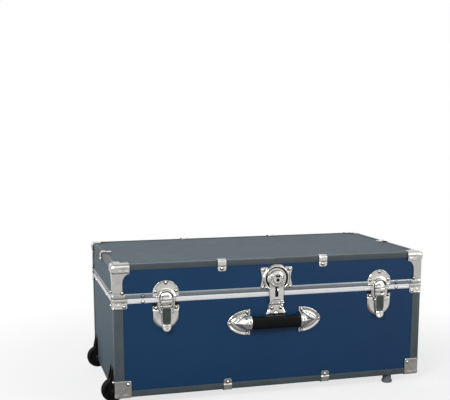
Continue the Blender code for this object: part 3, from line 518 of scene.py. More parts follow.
def finished(name, shapes, material, body, nodes=(), place=Matrix(), angle=40):
    """Gathers shapes into one named piece at a place. It rides on a body and stands for CAD nodes."""
    whole = moved(joined(bmesh.new(), *shapes), place)
    shadowed = any(face.material_index for face in whole.faces)
    made = as_object(whole, name)
    made.data.materials.append(material)
    # Painted shadow: the rivets' dark discs take the dark steel as a second material.
    if shadowed:
        made.data.materials.append(SHADE)
    made.data.shade_smooth()
    made.data.set_sharp_from_angle(angle=radians(angle))
    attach(made, body)
    if nodes:
        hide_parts(*nodes)
    return made


# Sheet metal wrapped round the box's edges and corners


def wrapped(signs, walls, out, radius, thickness, end="lid", extra=None, cuts=(), edge=EDGE):
    """Sheet wrapped round a corner of the box. Each wall is a polygon of distances from the corner:
    "x" along the front or rear wall as (across, from the end), "y" along a side wall, and "flat" on the
    lid's top or the body's bottom as (across, deep). extra(a, b, h) raises the sheet."""
    sx, sy = signs
    bm = bmesh.new()
    for wall, polygon in walls:
        points = {
            "x": [(a, 0, h) for a, h in polygon],
            "y": [(0, b, h) for b, h in polygon],
            "flat": [(a, b, 0) for a, b in polygon],
        }[wall]
        bm.faces.new([bm.verts.new(p) for p in points])
    for axis, places in enumerate(cuts):
        for place in places:
            split(bm, axis, place)
    bmesh.ops.remove_doubles(bm, verts=bm.verts, dist=1e-6)
    for v in bm.verts:
        a, b, h = v.co
        away = Vector((max(radius - a, 0), max(radius - b, 0), max(radius - h, 0)))
        away.normalize()
        base = Vector((max(a, radius), max(b, radius), max(h, radius))) - away * radius
        raised = out + (extra(a, b, h) if extra else 0.0)
        x, y, z = base - away * raised
        top = TOP - z if end == "lid" else BOTTOM + z
        v.co = (CX + sx * (HALF_X - x), CY + sy * (HALF_Y - y), top)
    facing = Vector((sx, sy, 1 if end == "lid" else -1))
    bm.normal_update()
    turned_in = [f for f in bm.faces if f.normal.dot(facing) < 0]
    bmesh.ops.reverse_faces(bm, faces=turned_in)
    return thick(bm, thickness, edge)


def curve_cuts(radius, reach, step=0.003):
    """Cuts that are close together where the sheet bends, and spread out after that."""
    near = [radius * t for t in (0.12, 0.28, 0.45, 0.62, 0.80, 1.0)]
    count = int((reach - radius) / step)
    return [*near, *[radius + step * (i + 1) for i in range(count)]]


BINDING = {"out": 0.0010, "radius": 0.0014, "thickness": 0.0009, "edge": 0.0002}
CORNER_LEG, BOTTOM_LEG, UNDER_LEG = 0.0205, 0.0145, 0.0200
TOP_LEG, SIDE_LEG = 0.0105, 0.0125
WHEEL_GAP = 0.1255  # half the length of the strip between the wheels


def angle_walls(side, over, rise):
    """The three walls of a quarter of an edge binding, whose upright corner leg goes to a height."""
    leg = CORNER_LEG
    walls = []
    for name, length in (("x", HALF_X), ("y", HALF_Y)):
        walls.append((name, [(0, 0), (length, 0), (length, side), (leg, side), (leg, rise), (0, rise)]))
    flat = [(0, 0), (HALF_X, 0), (HALF_X, over), (over, over), (over, HALF_Y), (0, HALF_Y)]
    return [*walls, ("flat", flat)]


def edge_bindings():
    """The angles along the box's edges, a quarter of them round each corner."""
    lid_drop = TOP - SEAM - BAND
    body_rise = SEAM - BAND - BOTTOM
    bend = curve_cuts(BINDING["radius"], BINDING["radius"])
    lid, body = [], []
    for signs in CORNERS.values():
        walls = angle_walls(SIDE_LEG, TOP_LEG, lid_drop)
        lid.append(wrapped(signs, walls, end="lid", cuts=(bend, bend, bend), **BINDING))
        walls = angle_walls(BOTTOM_LEG, UNDER_LEG, body_rise)
        if signs[0] < 0:
            walls[1] = ("y", [(0, 0), (CORNER_LEG, 0), (CORNER_LEG, body_rise), (0, body_rise)])
            walls[2] = ("flat", [(0, 0), (HALF_X, 0), (HALF_X, UNDER_LEG), (0, UNDER_LEG)])
        body.append(wrapped(signs, walls, end="body", cuts=(bend, bend, bend), **BINDING))
    gap = HALF_Y - WHEEL_GAP
    for sy in (-1, 1):
        along_y = [(gap, 0), (HALF_Y, 0), (HALF_Y, BOTTOM_LEG), (gap, BOTTOM_LEG)]
        flat = [(0, gap), (UNDER_LEG, gap), (UNDER_LEG, HALF_Y), (0, HALF_Y)]
        walls = (("y", along_y), ("flat", flat))
        body.append(wrapped((-1, sy), walls, end="body", cuts=(bend, (), bend), **BINDING))
    finished("lid_binding", lid, BINDING_GREY, "lid", ["lid_edge_binding"])
    finished("body_binding", body, BINDING_GREY, "root", ["body_edge_binding"])


# Corner caps and edge clamps

CAP_BEND = 0.0034
CAP = {"out": 0.0026, "radius": CAP_BEND, "thickness": 0.0012}


def wall_matrix(signs, wall):
    """The frame of one of the walls beside a corner, with its origin at the corner."""
    sx, sy = signs
    turn = sx * pi / 2
    if wall == "x":
        turn = pi if sy > 0 else 0
    return Matrix.Translation((CX + sx * HALF_X, CY + sy * HALF_Y, 0)) @ Matrix.Rotation(turn, 4, "Z")


def corner_nail(signs, wall, across, z, out=CAP["out"], radius=0.0033, height=0.0032):
    """A nail on one wall, so far across from the corner."""
    side = signs[0] * signs[1] * (1 if wall == "x" else -1)
    return moved(dome(radius, out, height), wall_matrix(signs, wall) @ at(side * across, z))


def lid_caps():
    """A pressed band along the top edges, over a leg that curves in below it and flares at the foot."""
    reach, waist, flare, flange, drop = 0.0365, 0.0198, 0.0258, 0.0180, 0.0178
    foot = TOP - SEAM - 0.0004
    turn = [radians(90 * i / 10) for i in range(11)]
    shoulder = [(reach - (reach - waist) * sin(t), drop + 0.0025 + 0.0235 * (1 - cos(t))) for t in turn]
    steps = (0, 0.25, 0.5, 0.75, 1)
    flared = [(waist + (flare - waist) * smooth(t, 0, 1), 0.0625 + 0.0060 * t) for t in steps]
    wall = [(0, 0), (reach, 0), *shoulder, *flared, (flare, foot), (0, foot)]
    notch = flange + 0.004
    flat = [(0, 0), (reach, 0), (reach, flange), (notch, flange)]
    flat += [(flange, notch), (flange, reach), (0, reach)]
    near = curve_cuts(CAP_BEND, reach, 0.003)
    crease_cuts = (15.8, 16.4, 16.9, 17.4, 17.9, 18.4, 19.0, 19.6, 20.4, 22.0, 25.0)
    leg_cuts = (30, 35, 40, 45, 50, 60, 62.5, 64, 66, 68, 70, 72, 75)
    down = [*curve_cuts(CAP_BEND, 0.0150, 0.0016), *[h / 1000 for h in (*crease_cuts, *leg_cuts)]]

    def raised(a, b, h):
        across = max(a, b)
        bead = 0.0020 * smooth(h, 0.0010, 0.0060) * (1 - smooth(h, 0.0160, 0.0172))
        hollow = -0.0010 * bulge(h, 0.0098, 0.0052) * bulge(across, 0.0230, 0.0170)
        crease = -0.0014 * bulge(h, 0.0184, 0.0014)
        leg = -0.0009 * bulge(h, 0.046, 0.020) * bulge(across, 0.0120, 0.0110)
        foot_bead = 0.0010 * bulge(h, 0.0715, 0.0040) - 0.0006 * bulge(h, 0.0665, 0.0020)
        return bead + hollow + crease + leg + foot_bead

    walls = (("x", wall), ("y", wall), ("flat", flat))
    for place, signs in CORNERS.items():
        cap = wrapped(signs, walls, end="lid", extra=raised, cuts=(near, near, down), **CAP)
        nails = [corner_nail(signs, side, 0.0195, SEAM + 0.0145) for side in ("x", "y")]
        node = f"lid_corner_cap_{place}"
        finished(f"lid_cap_{place}", [cap, *nails], CAP_NICKEL, "lid", [node])


def rim_caps():
    """The rim's corners: a sheet round each one, with a shoulder under the seam, a dimple and a lump."""
    reach, drop = 0.0298, 0.0225
    high = SEAM - 0.0004 - BOTTOM
    low = high - drop
    wall = [(0, low), (reach - 0.003, low), (reach, low + 0.003), (reach, high), (0, high)]
    near = curve_cuts(CAP_BEND, reach, 0.0025)
    up = [low + rise / 1000 for rise in (1, 2, 4, 6, 8, 10, 12, 14, 16, 17.5, 19, 21)]

    def raised(a, b, h):
        across, rise = max(a, b), h - low
        rolled = 0.0008 * bulge(rise, 0.0012, 0.0018)
        shoulder = 0.0010 * smooth(rise, 0.0160, 0.0178)
        dimple = -0.0014 * bulge(across, 0.0215, 0.0050) * bulge(rise, 0.0120, 0.0036)
        lump = 0.0012 * bulge(across, 0.0095, 0.0050) * bulge(rise, 0.0075, 0.0055)
        return rolled + shoulder + dimple + lump

    walls = (("x", wall), ("y", wall))
    for place, signs in CORNERS.items():
        cap = wrapped(signs, walls, end="body", extra=raised, cuts=(near, near, up), **CAP)
        nails = [corner_nail(signs, side, 0.0230, SEAM - 0.0172) for side in ("x", "y")]
        finished(f"rim_cap_{place}", [cap, *nails], NICKEL, "root", [f"body_rim_corner_{place}"])


def foot_caps():
    """Square caps, dished inside a rolled edge. Those beside the wheels are narrower on that wall."""
    tall, corner, full = 0.0385, 0.004, 0.0362
    nail_z, nail_out = BOTTOM + 0.0302, CAP["out"] - 0.0008
    for place, signs in CORNERS.items():
        by_wheel = signs[0] < 0
        reaches = {"x": full, "y": 0.0285 if by_wheel else full}
        reach_x, reach_y = reaches.values()
        walls = []
        for name, reach in reaches.items():
            rounding = arc((reach - corner, tall - corner), corner, 0, 90, 5)
            walls.append((name, [(0, 0), (reach, 0), *rounding, (0, tall)]))
        walls.append(("flat", [(0, 0), (reach_x, 0), (reach_x, reach_y), (0, reach_y)]))
        near_x, near_y = curve_cuts(CAP_BEND, reach_x, 0.0022), curve_cuts(CAP_BEND, reach_y, 0.0022)

        def raised(a, b, h, across=reach_x, along=reach_y):
            if a < CAP_BEND:
                u, v = b / along, h / tall
            elif b < CAP_BEND:
                u, v = a / across, h / tall
            else:
                return 0.0
            edge = min(1 - u, 1 - v, v + 0.02)
            rolled = 0.0009 * bulge(edge, 0.045, 0.060)
            dish = 0.0007 * smooth(edge, 0.08, 0.26)
            fold = 0.0003 * bulge(u - 0.9 * v, 0.10, 0.22) * smooth(edge, 0.10, 0.25)
            return rolled - dish + fold

        cap = wrapped(signs, walls, end="body", extra=raised, cuts=(near_x, near_y, near_x), **CAP)
        nails = [corner_nail(signs, "x", 0.0290, nail_z, nail_out, 0.0034, 0.0024 if by_wheel else 0.0032)]
        nails.append(corner_nail(signs, "y", 0.0215 if by_wheel else 0.0290, nail_z, nail_out, 0.0034))
        node = f"bottom_corner_cap_{place}"
        finished(f"foot_cap_{place}", [cap, *nails], NICKEL, "root", [node])


CLAMP = {"out": 0.0020, "radius": 0.0026, "thickness": 0.0009, "edge": 0.0003}


def clamp(name, signs, wall, centre, legs, end, body):
    """A clip over an edge: a strip down the wall with a nail, bent over on to the flat."""
    half, tip = 0.0100, 0.003
    down, over = legs
    a, b = centre - half, centre + half
    upright = [(a, 0), (b, 0), (b, down - tip), (b - tip, down), (a + tip, down), (a, down - tip)]
    flat = [(a, 0), (b, 0), (b, over - tip), (b - tip, over), (a + tip, over), (a, over - tip)]
    if wall == "y":
        flat = [(v, u) for u, v in flat]
    bend = curve_cuts(CLAMP["radius"], max(legs), 0.0015)
    across = [centre + half * t for t in (-0.9, -0.75, -0.5, 0.0, 0.5, 0.75, 0.9)]
    cuts = (across, bend, bend) if wall == "x" else (bend, across, bend)

    def raised(p, q, h):
        u = (p if wall == "x" else q) - centre
        deep = q if wall == "x" else p
        rolled = 0.0007 * smooth(abs(u), 0.0060, 0.0085)
        reach = max(h, deep)
        bead = 0.0010 * (1 - smooth(reach, 0.0110, 0.0128)) - 0.0006 * bulge(reach, 0.0136, 0.0016)
        return rolled + bead

    strip = wrapped(signs, ((wall, upright), ("flat", flat)), end=end, extra=raised, cuts=cuts, **CLAMP)
    nail_down = down - 0.0068
    z = TOP - nail_down if end == "lid" else BOTTOM + nail_down
    nail = corner_nail(signs, wall, centre, z, CLAMP["out"], 0.0036, 0.0036)
    finished(name, [strip, nail], NICKEL, body)


def clamps():
    """Clips along the lid's and the body's long edges, and one on the short edges that have no wheels."""
    lid_x = {-1: 0.1282, 1: 0.1198}
    body_x = {-1: 0.1147, 1: 0.1303}
    for side, sx in (("left", -1), ("right", 1)):
        for depth, sy in (("front", -1), ("rear", 1)):
            name, signs = f"clamp_{depth}_{side}", (sx, sy)
            clamp(f"lid_{name}", signs, "x", HALF_X - lid_x[sx], (0.0240, 0.0180), "lid", "lid")
            clamp(f"body_{name}", signs, "x", HALF_X - body_x[sx], (0.0245, 0.0200), "body", "root")
        clamp(f"lid_clamp_{side}_end", (sx, -1), "y", HALF_Y, (0.0200, 0.0240), "lid", "lid")
    clamp("body_clamp_right_end", (1, -1), "y", HALF_Y, (0.0245, 0.0200), "body", "root")


# Rims


ROUND = ((1, 1), (-1, 1), (-1, -1), (1, -1))  # the corners in turn, from the rear right one


def ring(profile, radius=0.0012, steps=4):
    """A section of (out, z) points taken round the box, with small round corners."""
    sections = []
    for k, (sx, sy) in enumerate(ROUND):
        x, y = CX + sx * (HALF_X - radius), CY + sy * (HALF_Y - radius)
        for i in range(steps + 1):
            a = pi / 2 * (k + i / steps)
            reaches = [(radius + out, z) for out, z in profile]
            sections.append([(x + cos(a) * reach, y + sin(a) * reach, z) for reach, z in reaches])
    return lofted(sections, closed=True)


def inner_ring(profile):
    """A section that lies inside the boards, taken round square corners."""
    sections = []
    for sx, sy in ROUND:
        sections.append([(CX + sx * (HALF_X + out), CY + sy * (HALF_Y + out), z) for out, z in profile])
    return lofted(sections, closed=True)


LID_FACE = [(0.0003, 0.0115), (0.0009, 0.0114), (0.0014, 0.0108), (0.0019, 0.0094), (0.0021, 0.0078),
            (0.0020, 0.0062), (0.0016, 0.0054), (0.0015, 0.0046), (0.0013, 0.0030), (0.0008, 0.0012),
            (0.0004, 0.0002), (-0.0005, 0.0002), (-0.0005, 0.0115)]
BODY_FACE = [(0.0003, -0.0002), (0.0012, -0.0004), (0.0018, -0.0012), (0.0020, -0.0030), (0.0019, -0.0052),
             (0.0015, -0.0058), (0.0015, -0.0064), (0.0018, -0.0070), (0.0016, -0.0096), (0.0012, -0.0110),
             (0.0003, -0.0115), (-0.0005, -0.0115), (-0.0005, -0.0002)]


def inner_sections():
    """The rims' sections inside the boards: over the boards' edges and down their inner faces."""
    wall, inside, ledge, board = -0.0075, -0.0064, -0.0105, 0.0016
    lid = [(0, 0.0002), (wall, 0.0002), (wall - 0.0004, 0.0006), (wall - 0.0004, 0.0086), (wall, 0.0090)]
    lid += [(inside, 0.0090), (inside, board), (0, board)]
    body = [(0, -0.0002), (ledge, -0.0002), (ledge - 0.0003, -0.0008), (ledge, -0.0014)]
    body += [(wall - 0.0004, -board), (wall - 0.0004, -0.0086), (wall, -0.0090), (inside, -0.0090)]
    body += [(inside, -board), (0, -board)]
    return lid, body


def rims():
    """The aluminium channels above and below the seam, with a pair of nails near each end of each wall."""
    lid_inner, body_inner = inner_sections()

    def above(section):
        return [(out, SEAM + z) for out, z in section]

    lid = [ring(above(LID_FACE)), inner_ring(above(lid_inner))]
    body = [ring(above(BODY_FACE)), inner_ring(above(body_inner)), tongue()]
    spots = [(wall, s * 0.3130) for wall in (FRONT, REAR) for s in (-1, 1)]
    spots += [(wall, y) for y in (-0.1000, 0.1000) for wall in (RIGHT, LEFT)]
    for shapes, z in ((lid, 0.0062), (body, -0.0068)):
        shapes += [moved(dome(0.0033, 0.0018, 0.0032), wall @ at(x, SEAM + z)) for wall, x in spots]
    # The lid's rim takes the shaded copy of the aluminium.
    finished("lid_channel", lid, SHADED_ALUMINIUM, "lid", ["lid_rim"], angle=30)
    finished("body_channel", body, ALUMINIUM, "root", ["body_rim"], angle=30)


def tongue():
    """The upstand inside the lid's rim, with a rounded top edge."""
    near, far, rise = 0.0088, 0.0102, 0.0055
    section = [(-near, -0.0010), (-near, rise - 0.0006), (-near - 0.0003, rise), (-far + 0.0003, rise)]
    section += [(-far, rise - 0.0006), (-far, -0.0010)]
    end = HALF_Y - 0.022
    path = [(HALF_X, end), (HALF_X, -HALF_Y), (-HALF_X, -HALF_Y), (-HALF_X, end)]
    sections = []
    for x, y in path:
        sx, sy = (1 if x > 0 else -1), (-1 if y < 0 else 0)
        sections.append([(CX + x + sx * out, CY + y + sy * out, SEAM + z) for out, z in section])
    return lofted(sections)


# Draw bolts

BOLT_HALF = 0.0305  # half the width of a bolt's plates, and the radius of their round ends
BOLT_TOP, BOLT_BOTTOM = 0.2900, 0.1780


def bolt_keeper():
    """A round-topped plate: a rolled edge, an arch pressed round the bail, and the knob that it catches."""
    centre, arch_z = BOLT_TOP - BOLT_HALF, 0.2495
    low = SEAM + 0.0004
    outline = [(BOLT_HALF, low), *arc((0, centre), BOLT_HALF, 0, 180, 40), (-BOLT_HALF, low)]

    def height(x, z, d):
        rolled = 0.0011 * bulge(d, 0.0014, 0.0015)
        radius = hypot(x, max(z - arch_z, 0.0))
        arch = 0.0016 * (1 - smooth(radius, 0.0205, 0.0228))
        return 0.0022 + rolled + arch - 0.0005 * (1 - smooth(d, 0.0, 0.0006))

    plate = pressed(outline, height, 0.0014)
    flat, half, crown = 0.2470, 0.0138, 0.2513
    knob = [(half, flat), *arc((0, crown), half, 0, 180, 32), (-half, flat)]

    def knob_height(x, z, d):
        radius = hypot(x, max(z - crown, 0.0)) / half
        return 0.0054 + 0.0046 * sqrt(max(1 - radius * radius, 0)) - 0.16 * (z - crown - 0.0040)

    cap = pressed(knob, knob_height, 0.0010, 0.0012, (0.0002, 0.0004, 0.0006))
    stem = slab([(x * 0.93, crown + (z - crown) * 0.93) for x, z in knob], 0.0022, 0.0062, 0.0002)
    places = ((0, 0.2850), (-0.0238, 0.2660), (0.0238, 0.2660))
    return [plate, cap, stem, *rivets(places, 0.0020)]


def bolt_base():
    """The body's plate: a dished pan, two ears for the lever, and a barrel under the knob."""
    top = SEAM - BAND - 0.0004
    centre = BOLT_BOTTOM + BOLT_HALF
    notch = [(0.0200, top), (0.0200, 0.2325), (0.0212, 0.2313), (BOLT_HALF - 0.0012, 0.2313)]
    notch.append((BOLT_HALF, 0.2300))
    outline = [*notch[::-1], *[(-x, z) for x, z in notch], *arc((0, centre), BOLT_HALF, 180, 360, 40)[1:-1]]
    outline.reverse()

    def height(x, z, d):
        pan = 0.0034 * smooth(d, 0.0002, 0.0030) * (1 - smooth(z, 0.2215, 0.2250))
        dish = 0.0008 * smooth(d, 0.0040, 0.0160) * (1 - smooth(z, 0.2100, 0.2250))
        return 0.0014 + pan - dish

    made = [pressed(outline, height, 0.0011)]
    made.append(box((-0.0124, 0.0124), (0.0014, 0.0086), (0.2362, 0.2448), 0.0012))
    eye = arc((0.0072, 0.2316), 0.0028, -30, 120, 6)
    ear = [(0.0010, 0.2262), (0.0092, 0.2270), *eye, (0.0010, 0.2362)]
    for s in (-1, 1):
        side = slab(ear, -0.0009, 0.0009, 0.0002)
        made.append(moved(side, Matrix.Translation((s * 0.0111, 0, 0)) @ Matrix.Rotation(-pi / 2, 4, "Z")))
    return [*made, *rivets(((-0.0238, 0.2276), (0.0238, 0.2276)), 0.0034)]


def bolt_recess_shadows():
    """Painted shadow: two dark slabs over the shaded hollows beside the barrel, under the body's rim."""
    hollow = ((0.0202, 0.2392), (0.0202, 0.2322), (0.0304, 0.2316), (0.0304, 0.2392))
    return [slab([(s * x, z) for x, z in hollow], 0.0002, 0.0009, 0.0002) for s in (-1, 1)]


def bolt_lever():
    """Side rails round a dished channel, with a rolled bar across the head and a turned-out round tip."""
    head, shoulder = 0.2328, 0.2249
    half, wide, tip = 0.0097, 0.0117, 0.1818
    end = 0.0098
    side = [(half, head), (half, shoulder + 0.0012), (wide, shoulder), (wide, 0.2060)]
    side += [(wide - 0.0007, 0.1960), (end, 0.1880), (end, tip)]
    outline = [*side, *arc((0, tip), end, -8, -172, 18), *[(-x, z) for x, z in reversed(side)]]

    def height(x, z, d):
        floor = smooth(d, 0.0010, 0.0024) * smooth(z, 0.1850, 0.1905) * (1 - smooth(z, 0.2262, 0.2280))
        kick = 0.0012 * (1 - smooth(z, 0.1720, 0.1900))
        spoon = -0.0012 * bulge(hypot(x, z - tip), 0, 0.0070)
        return 0.0100 - 0.0016 * floor + kick + spoon - 0.0005 * (1 - smooth(d, 0, 0.0008))

    body = pressed(outline, height, 0.0018, 0.0012, (0.0003, 0.0004, 0.0005))
    bar = rod((-0.0096, -0.0098, 0.2304), (0.0096, -0.0098, 0.2304), 0.0017, 16)
    stub = rod((-0.0128, -0.0075, 0.2310), (0.0128, -0.0075, 0.2310), 0.0015)
    return [body, bar, stub]


def lever_channel_shade():
    """Painted dark reflection on the channel's floor: a film of darker nickel just over it."""
    low, high = 0.1890, 0.2268
    side = [(0.0086, high), (0.0109, 0.2240), (0.0109, 0.2060), (0.0101, 0.1960), (0.0084, low + 0.0020)]
    outline = both_halves([*side, (0.0050, low - 0.0006)])

    def height(x, z, d):
        end = 0.0006 * (1 - smooth(z, low - 0.002, low + 0.006))
        return 0.0088 + end + 0.0004 * smooth(abs(x), 0.005, 0.0096)

    return [pressed(outline, height, 0.0008, 0.0014, (0.0003, 0.0005), edge=0.0002)]


def bolt_bail():
    """A bent wire loop, with an eye at each end for the lever's pin."""
    out, low, half, wire = 0.0070, 0.2180, 0.0178, 0.0016
    bend = 0.2668 - half
    leg = [(0.0127, low + 0.0014), (0.0133, low + 0.0030), (0.0146, low + 0.0056), (0.0163, low + 0.0090)]
    leg += [(0.0174, low + 0.0125), (half, low + 0.0165), (half, bend - 0.0060)]
    path = [*leg, *arc((0, bend), half, 0, 180, 28), *[(-x, z) for x, z in reversed(leg)]]
    made = [sweep([(x, -out, z) for x, z in path], wire, 14)]
    for s in (-1, 1):
        made.append(rod((s * 0.0111, -out, low), (s * 0.0143, -out, low), 0.0030))
    return made


def draw_bolts():
    for side in ("left", "right"):
        prefix = f"{side}_draw_bolt_"
        place = FRONT @ Matrix.Translation((middle(prefix + "keeper")[0] - CX, 0, 0))
        parts = (
            ("keeper", bolt_keeper, "lid"),
            ("base", bolt_base, "root"),
            ("lever", bolt_lever, f"{side}_lever"),
            ("bail", bolt_bail, f"{side}_bail"),
        )
        for name, shapes, body in parts:
            finished(f"{prefix}{name}_fine", shapes(), NICKEL, body, [prefix + name], place)
        # Painted dark reflection in the lever's channel.
        finished(f"{prefix}channel", lever_channel_shade(), SHADED_NICKEL, f"{side}_lever", place=place)
        # Painted shadow in the hollows beside the barrel.
        finished(f"{prefix}recess_shadows", bolt_recess_shadows(), SHADOW_STEEL, "root", place=place)


# Lock

LOCK_Z = 0.2815
HASP_PIN_Z, HASP_PIN_OUT = 0.2230, 0.0040


def lock_plate():
    """A waisted plate with a tab over the rim, a turned bezel open at the foot, and the staple."""
    low, high, half, waist = 0.2585, 0.3082, 0.0390, 0.0036
    corner = 0.0042
    rise = [i / 12 for i in range(1, 12)]
    side = [(half - waist * sin(t * pi) ** 1.2, low + corner + (high - low - 2 * corner) * t) for t in rise]
    foot = arc((half - corner, low + corner), corner, -90, 0, 5)
    ear = arc((half - corner, high - corner), corner, 0, 90, 5)
    outline = both_halves([*foot, *side, *ear])

    def height(x, z, d):
        near_corner = smooth(abs(x), 0.026, 0.034)
        return 0.0026 + 0.0005 * bulge(d, 0.0013, 0.0014) + 0.0003 * near_corner

    plate = pressed(outline, height, 0.0013)
    tab = box((-0.0118, 0.0118), (0.0004, 0.0026), (SEAM + 0.0004, low + 0.0008), 0.0003)
    section = [(0.0268, 0.0012), (0.0338, 0.0012), (0.0338, 0.0034), (0.0334, 0.0044), (0.0322, 0.0052)]
    section += [(0.0316, 0.0062), (0.0312, 0.0074), (0.0300, 0.0082), (0.0288, 0.0082), (0.0278, 0.0076)]
    section.append((0.0270, 0.0060))
    bezel = moved(turned(section, 84, -52, 232), at(0, LOCK_Z))
    well = moved(turned([(0, 0.0012), (0.0270, 0.0012), (0.0270, 0.0029), (0, 0.0029)], 48), at(0, LOCK_Z))
    staple = [(0, -0.0026 - y, 0.2556 + z) for y, z in ((0.0, 0.0034), (0.0090, 0.0036), (0.0124, 0.0022))]
    staple += [(0, -0.0162, 0.2556), (0, -0.0150, 0.2532), (0, -0.0116, 0.2522), (0, -0.0026, 0.2522)]
    loop = sweep(staple, 0.0017, 14)
    places = [(s * 0.0335, z) for s in (-1, 1) for z in (0.2625, 0.3030)]
    return [plate, tab, bezel, well, loop, *rivets(places, 0.0024, 0.0036, 0.0036)]


def hasp_rod(low, high, radius, segments=20):
    """A bar along the hasp's hinge pin."""
    return rod((low, -HASP_PIN_OUT, HASP_PIN_Z), (high, -HASP_PIN_OUT, HASP_PIN_Z), radius, segments)


def hasp():
    """The hasp: an arm with two slots, a stepped round head with a thumb lug, and a barrel on the pin."""
    foot = HASP_PIN_Z + 0.0036
    half, wide = 0.0170, 0.0183
    top = LOCK_Z - 0.004
    right = [(half - 0.003, foot), (half - 0.0008, foot + 0.001), (half, foot + 0.004)]
    outline = both_halves([*right, (wide, top - 0.010), (wide, top)])

    def height(x, z, d):
        raised = 0.0006 * smooth(z, 0.258, 0.268)
        rolled = 0.0008 * bulge(d, 0.0014, 0.0016)
        return 0.0064 + rolled + raised - 0.0004 * (1 - smooth(d, 0, 0.0006))

    holes = ((-0.0040, 0.0040, 0.2380, 0.2618), (-0.0092, 0.0092, 0.2297, 0.2315))
    arm = pressed(outline, height, 0.0020, holes=holes)
    arm_bar = rod((-0.0166, -0.0072, 0.2276), (0.0166, -0.0072, 0.2276), 0.0013, 18)
    profile = [(0, 0.0042), (0.0188, 0.0042), (0.0190, 0.0046), (0.0190, 0.0088), (0.0187, 0.0098)]
    profile += [(0.0180, 0.0106), (0.0170, 0.0110), (0.0160, 0.0110), (0.0155, 0.0107), (0.0150, 0.0110)]
    profile += [(0.0140, 0.0116), (0.0118, 0.0120), (0.0112, 0.0120), (0.0109, 0.0112), (0, 0.0112)]
    head = moved(turned(profile, 64), at(0, LOCK_Z))
    lug_line = [(-0.0225, -0.0080), (-0.0240, -0.0040), (-0.0242, 0.0000), (-0.0232, 0.0052)]
    lug_line += [(-0.0205, 0.0090), (-0.0120, 0.0110), (-0.0120, -0.0110)]
    lug = slab([(x, LOCK_Z + z) for x, z in lug_line], 0.0040, 0.0090, 0.0014, 3)
    barrel = hasp_rod(-0.0080, 0.0080, 0.0030, 24)
    neck = box((-0.0080, 0.0080), (0.0040, 0.0062), (HASP_PIN_Z + 0.0004, foot + 0.0012), 0.0004)
    dots = [moved(dome(0.0017, 0.0114, 0.0010, 14), at(s * 0.0134, LOCK_Z + 0.0022)) for s in (-1, 1)]
    return [arm, arm_bar, head, lug, barrel, neck, *dots]


def lock_plug():
    """The plug's round face, chamfered at its edge."""
    radius = 0.0105
    edge = [(radius, 0.0100), (radius, 0.0118), (radius - 0.0004, 0.0124), (0, 0.0124), (0, 0.0100)]
    return [moved(turned(edge, 40), at(0, LOCK_Z))]


def keyholes():
    """The keyway, shown as three dark discs that stand just proud of the plug's face: painted shade for the
    holes.
    """
    made = []
    for x, z, radius in ((-0.0019, 0.0062, 0.0027), (0.0031, 0.0062, 0.0027), (0.0006, -0.0026, 0.0039)):
        disc = turned([(0, 0.0110), (radius, 0.0110), (radius, 0.0128), (0, 0.0128)], 20)
        made.append(moved(disc, at(x, LOCK_Z + z)))
    return made


def lock_shadows():
    """Painted shade: a dark ring in the groove inside the bezel, a dark slab in the shaded hollow under the
    lug, and a dark strip at the back of the long slot.
    """
    near, far, low, high = 0.0244, 0.0270, 0.0026, 0.0036
    groove = turned([(near, low), (far, low), (far, high), (near, high)], 72, -40, 220)
    lobe = [(-0.0250, -0.0172), (-0.0176, -0.0200), (-0.0150, -0.0120), (-0.0190, -0.0086)]
    lobe.append((-0.0244, -0.0092))
    recess = slab([(x, LOCK_Z + z) for x, z in lobe], 0.0030, 0.0038, 0.0002)
    backing = box((-0.0044, 0.0044), (0.0026, 0.0032), (SEAM + 0.0006, 0.2618), 0.0001)
    return [moved(groove, at(0, LOCK_Z)), recess, backing]


def hasp_slot_shadows():
    """Painted shade: dark strips at the backs of the hasp's slots, below the seam."""
    long_slot = box((-0.0044, 0.0044), (0.0020, 0.0032), (0.2378, SEAM - 0.0006), 0.0001)
    cross_slot = box((-0.0096, 0.0096), (0.0020, 0.0036), (0.2284, 0.2326), 0.0001)
    return [long_slot, cross_slot]


def hasp_hinge():
    """A flared plate with raised cheeks and a lump in its middle, under two knuckles and their pin."""
    right = [(0.0178, HASP_PIN_Z - 0.0005), (0.0178, HASP_PIN_Z - 0.0100), (0.0190, 0.2080)]
    right += [(0.0245, 0.2000), (0.0256, 0.1965), (0.0248, 0.1940), (0.0226, 0.1930), (0.0120, 0.1934)]
    outline = both_halves(right)

    def height(x, z, d):
        cheek = 0.0026 * bulge(abs(x), 0.0195, 0.0090) * (1 - smooth(z, 0.2000, 0.2120))
        sunk = 0.0010 * smooth(z, 0.2172, 0.2182)
        return 0.0014 + 0.0012 * smooth(d, 0.0004, 0.0024) + cheek - sunk

    plate = pressed(outline, height, 0.0011)
    spans = ((-0.0084, -0.0180), (0.0084, 0.0180))
    knuckles = [hasp_rod(low, high, 0.0030, 24) for low, high in spans]
    pin = hasp_rod(-0.0174, 0.0174, 0.0013)
    lump = moved(dome(0.0054, 0.0024, 0.0038, 28), at(0, 0.1985))
    nails = rivets(((-0.0112, 0.2118), (0.0112, 0.2118)), 0.0024, 0.0038, 0.0042)
    return [plate, *knuckles, pin, lump, *nails]


def lock():
    place = FRONT @ Matrix.Translation((middle("lock_plate")[0] - CX, 0, 0))
    parts = (
        ("lock_plate", lock_plate, "lid", "nickel"),
        ("hasp_hinge_plate", hasp_hinge, "root", "nickel"),
        ("hasp", hasp, "hasp", "nickel"),
        ("lock_plug", lock_plug, "lock_plug", "steel"),
    )
    for name, shapes, body, slot in parts:
        finished(f"{name}_fine", shapes(), NICKEL, body, [name], place)
    # Painted shade for the keyway's holes.
    finished("keyway", keyholes(), BLACK, "lock_plug", place=place)
    # Painted shade in the bezel's groove, under the lug and behind the long slot.
    finished("lock_shadows", lock_shadows(), SHADOW_STEEL, "lid", place=place)
    # Painted shade behind the hasp's slots.
    finished("hasp_slot_shadows", hasp_slot_shadows(), SHADOW_STEEL, "root", place=place)


# Handles

HANDLE_Z = 0.180
MOUTH, TIP = 0.0605, 0.1155  # a cap's open and pointed ends, from the handle's middle


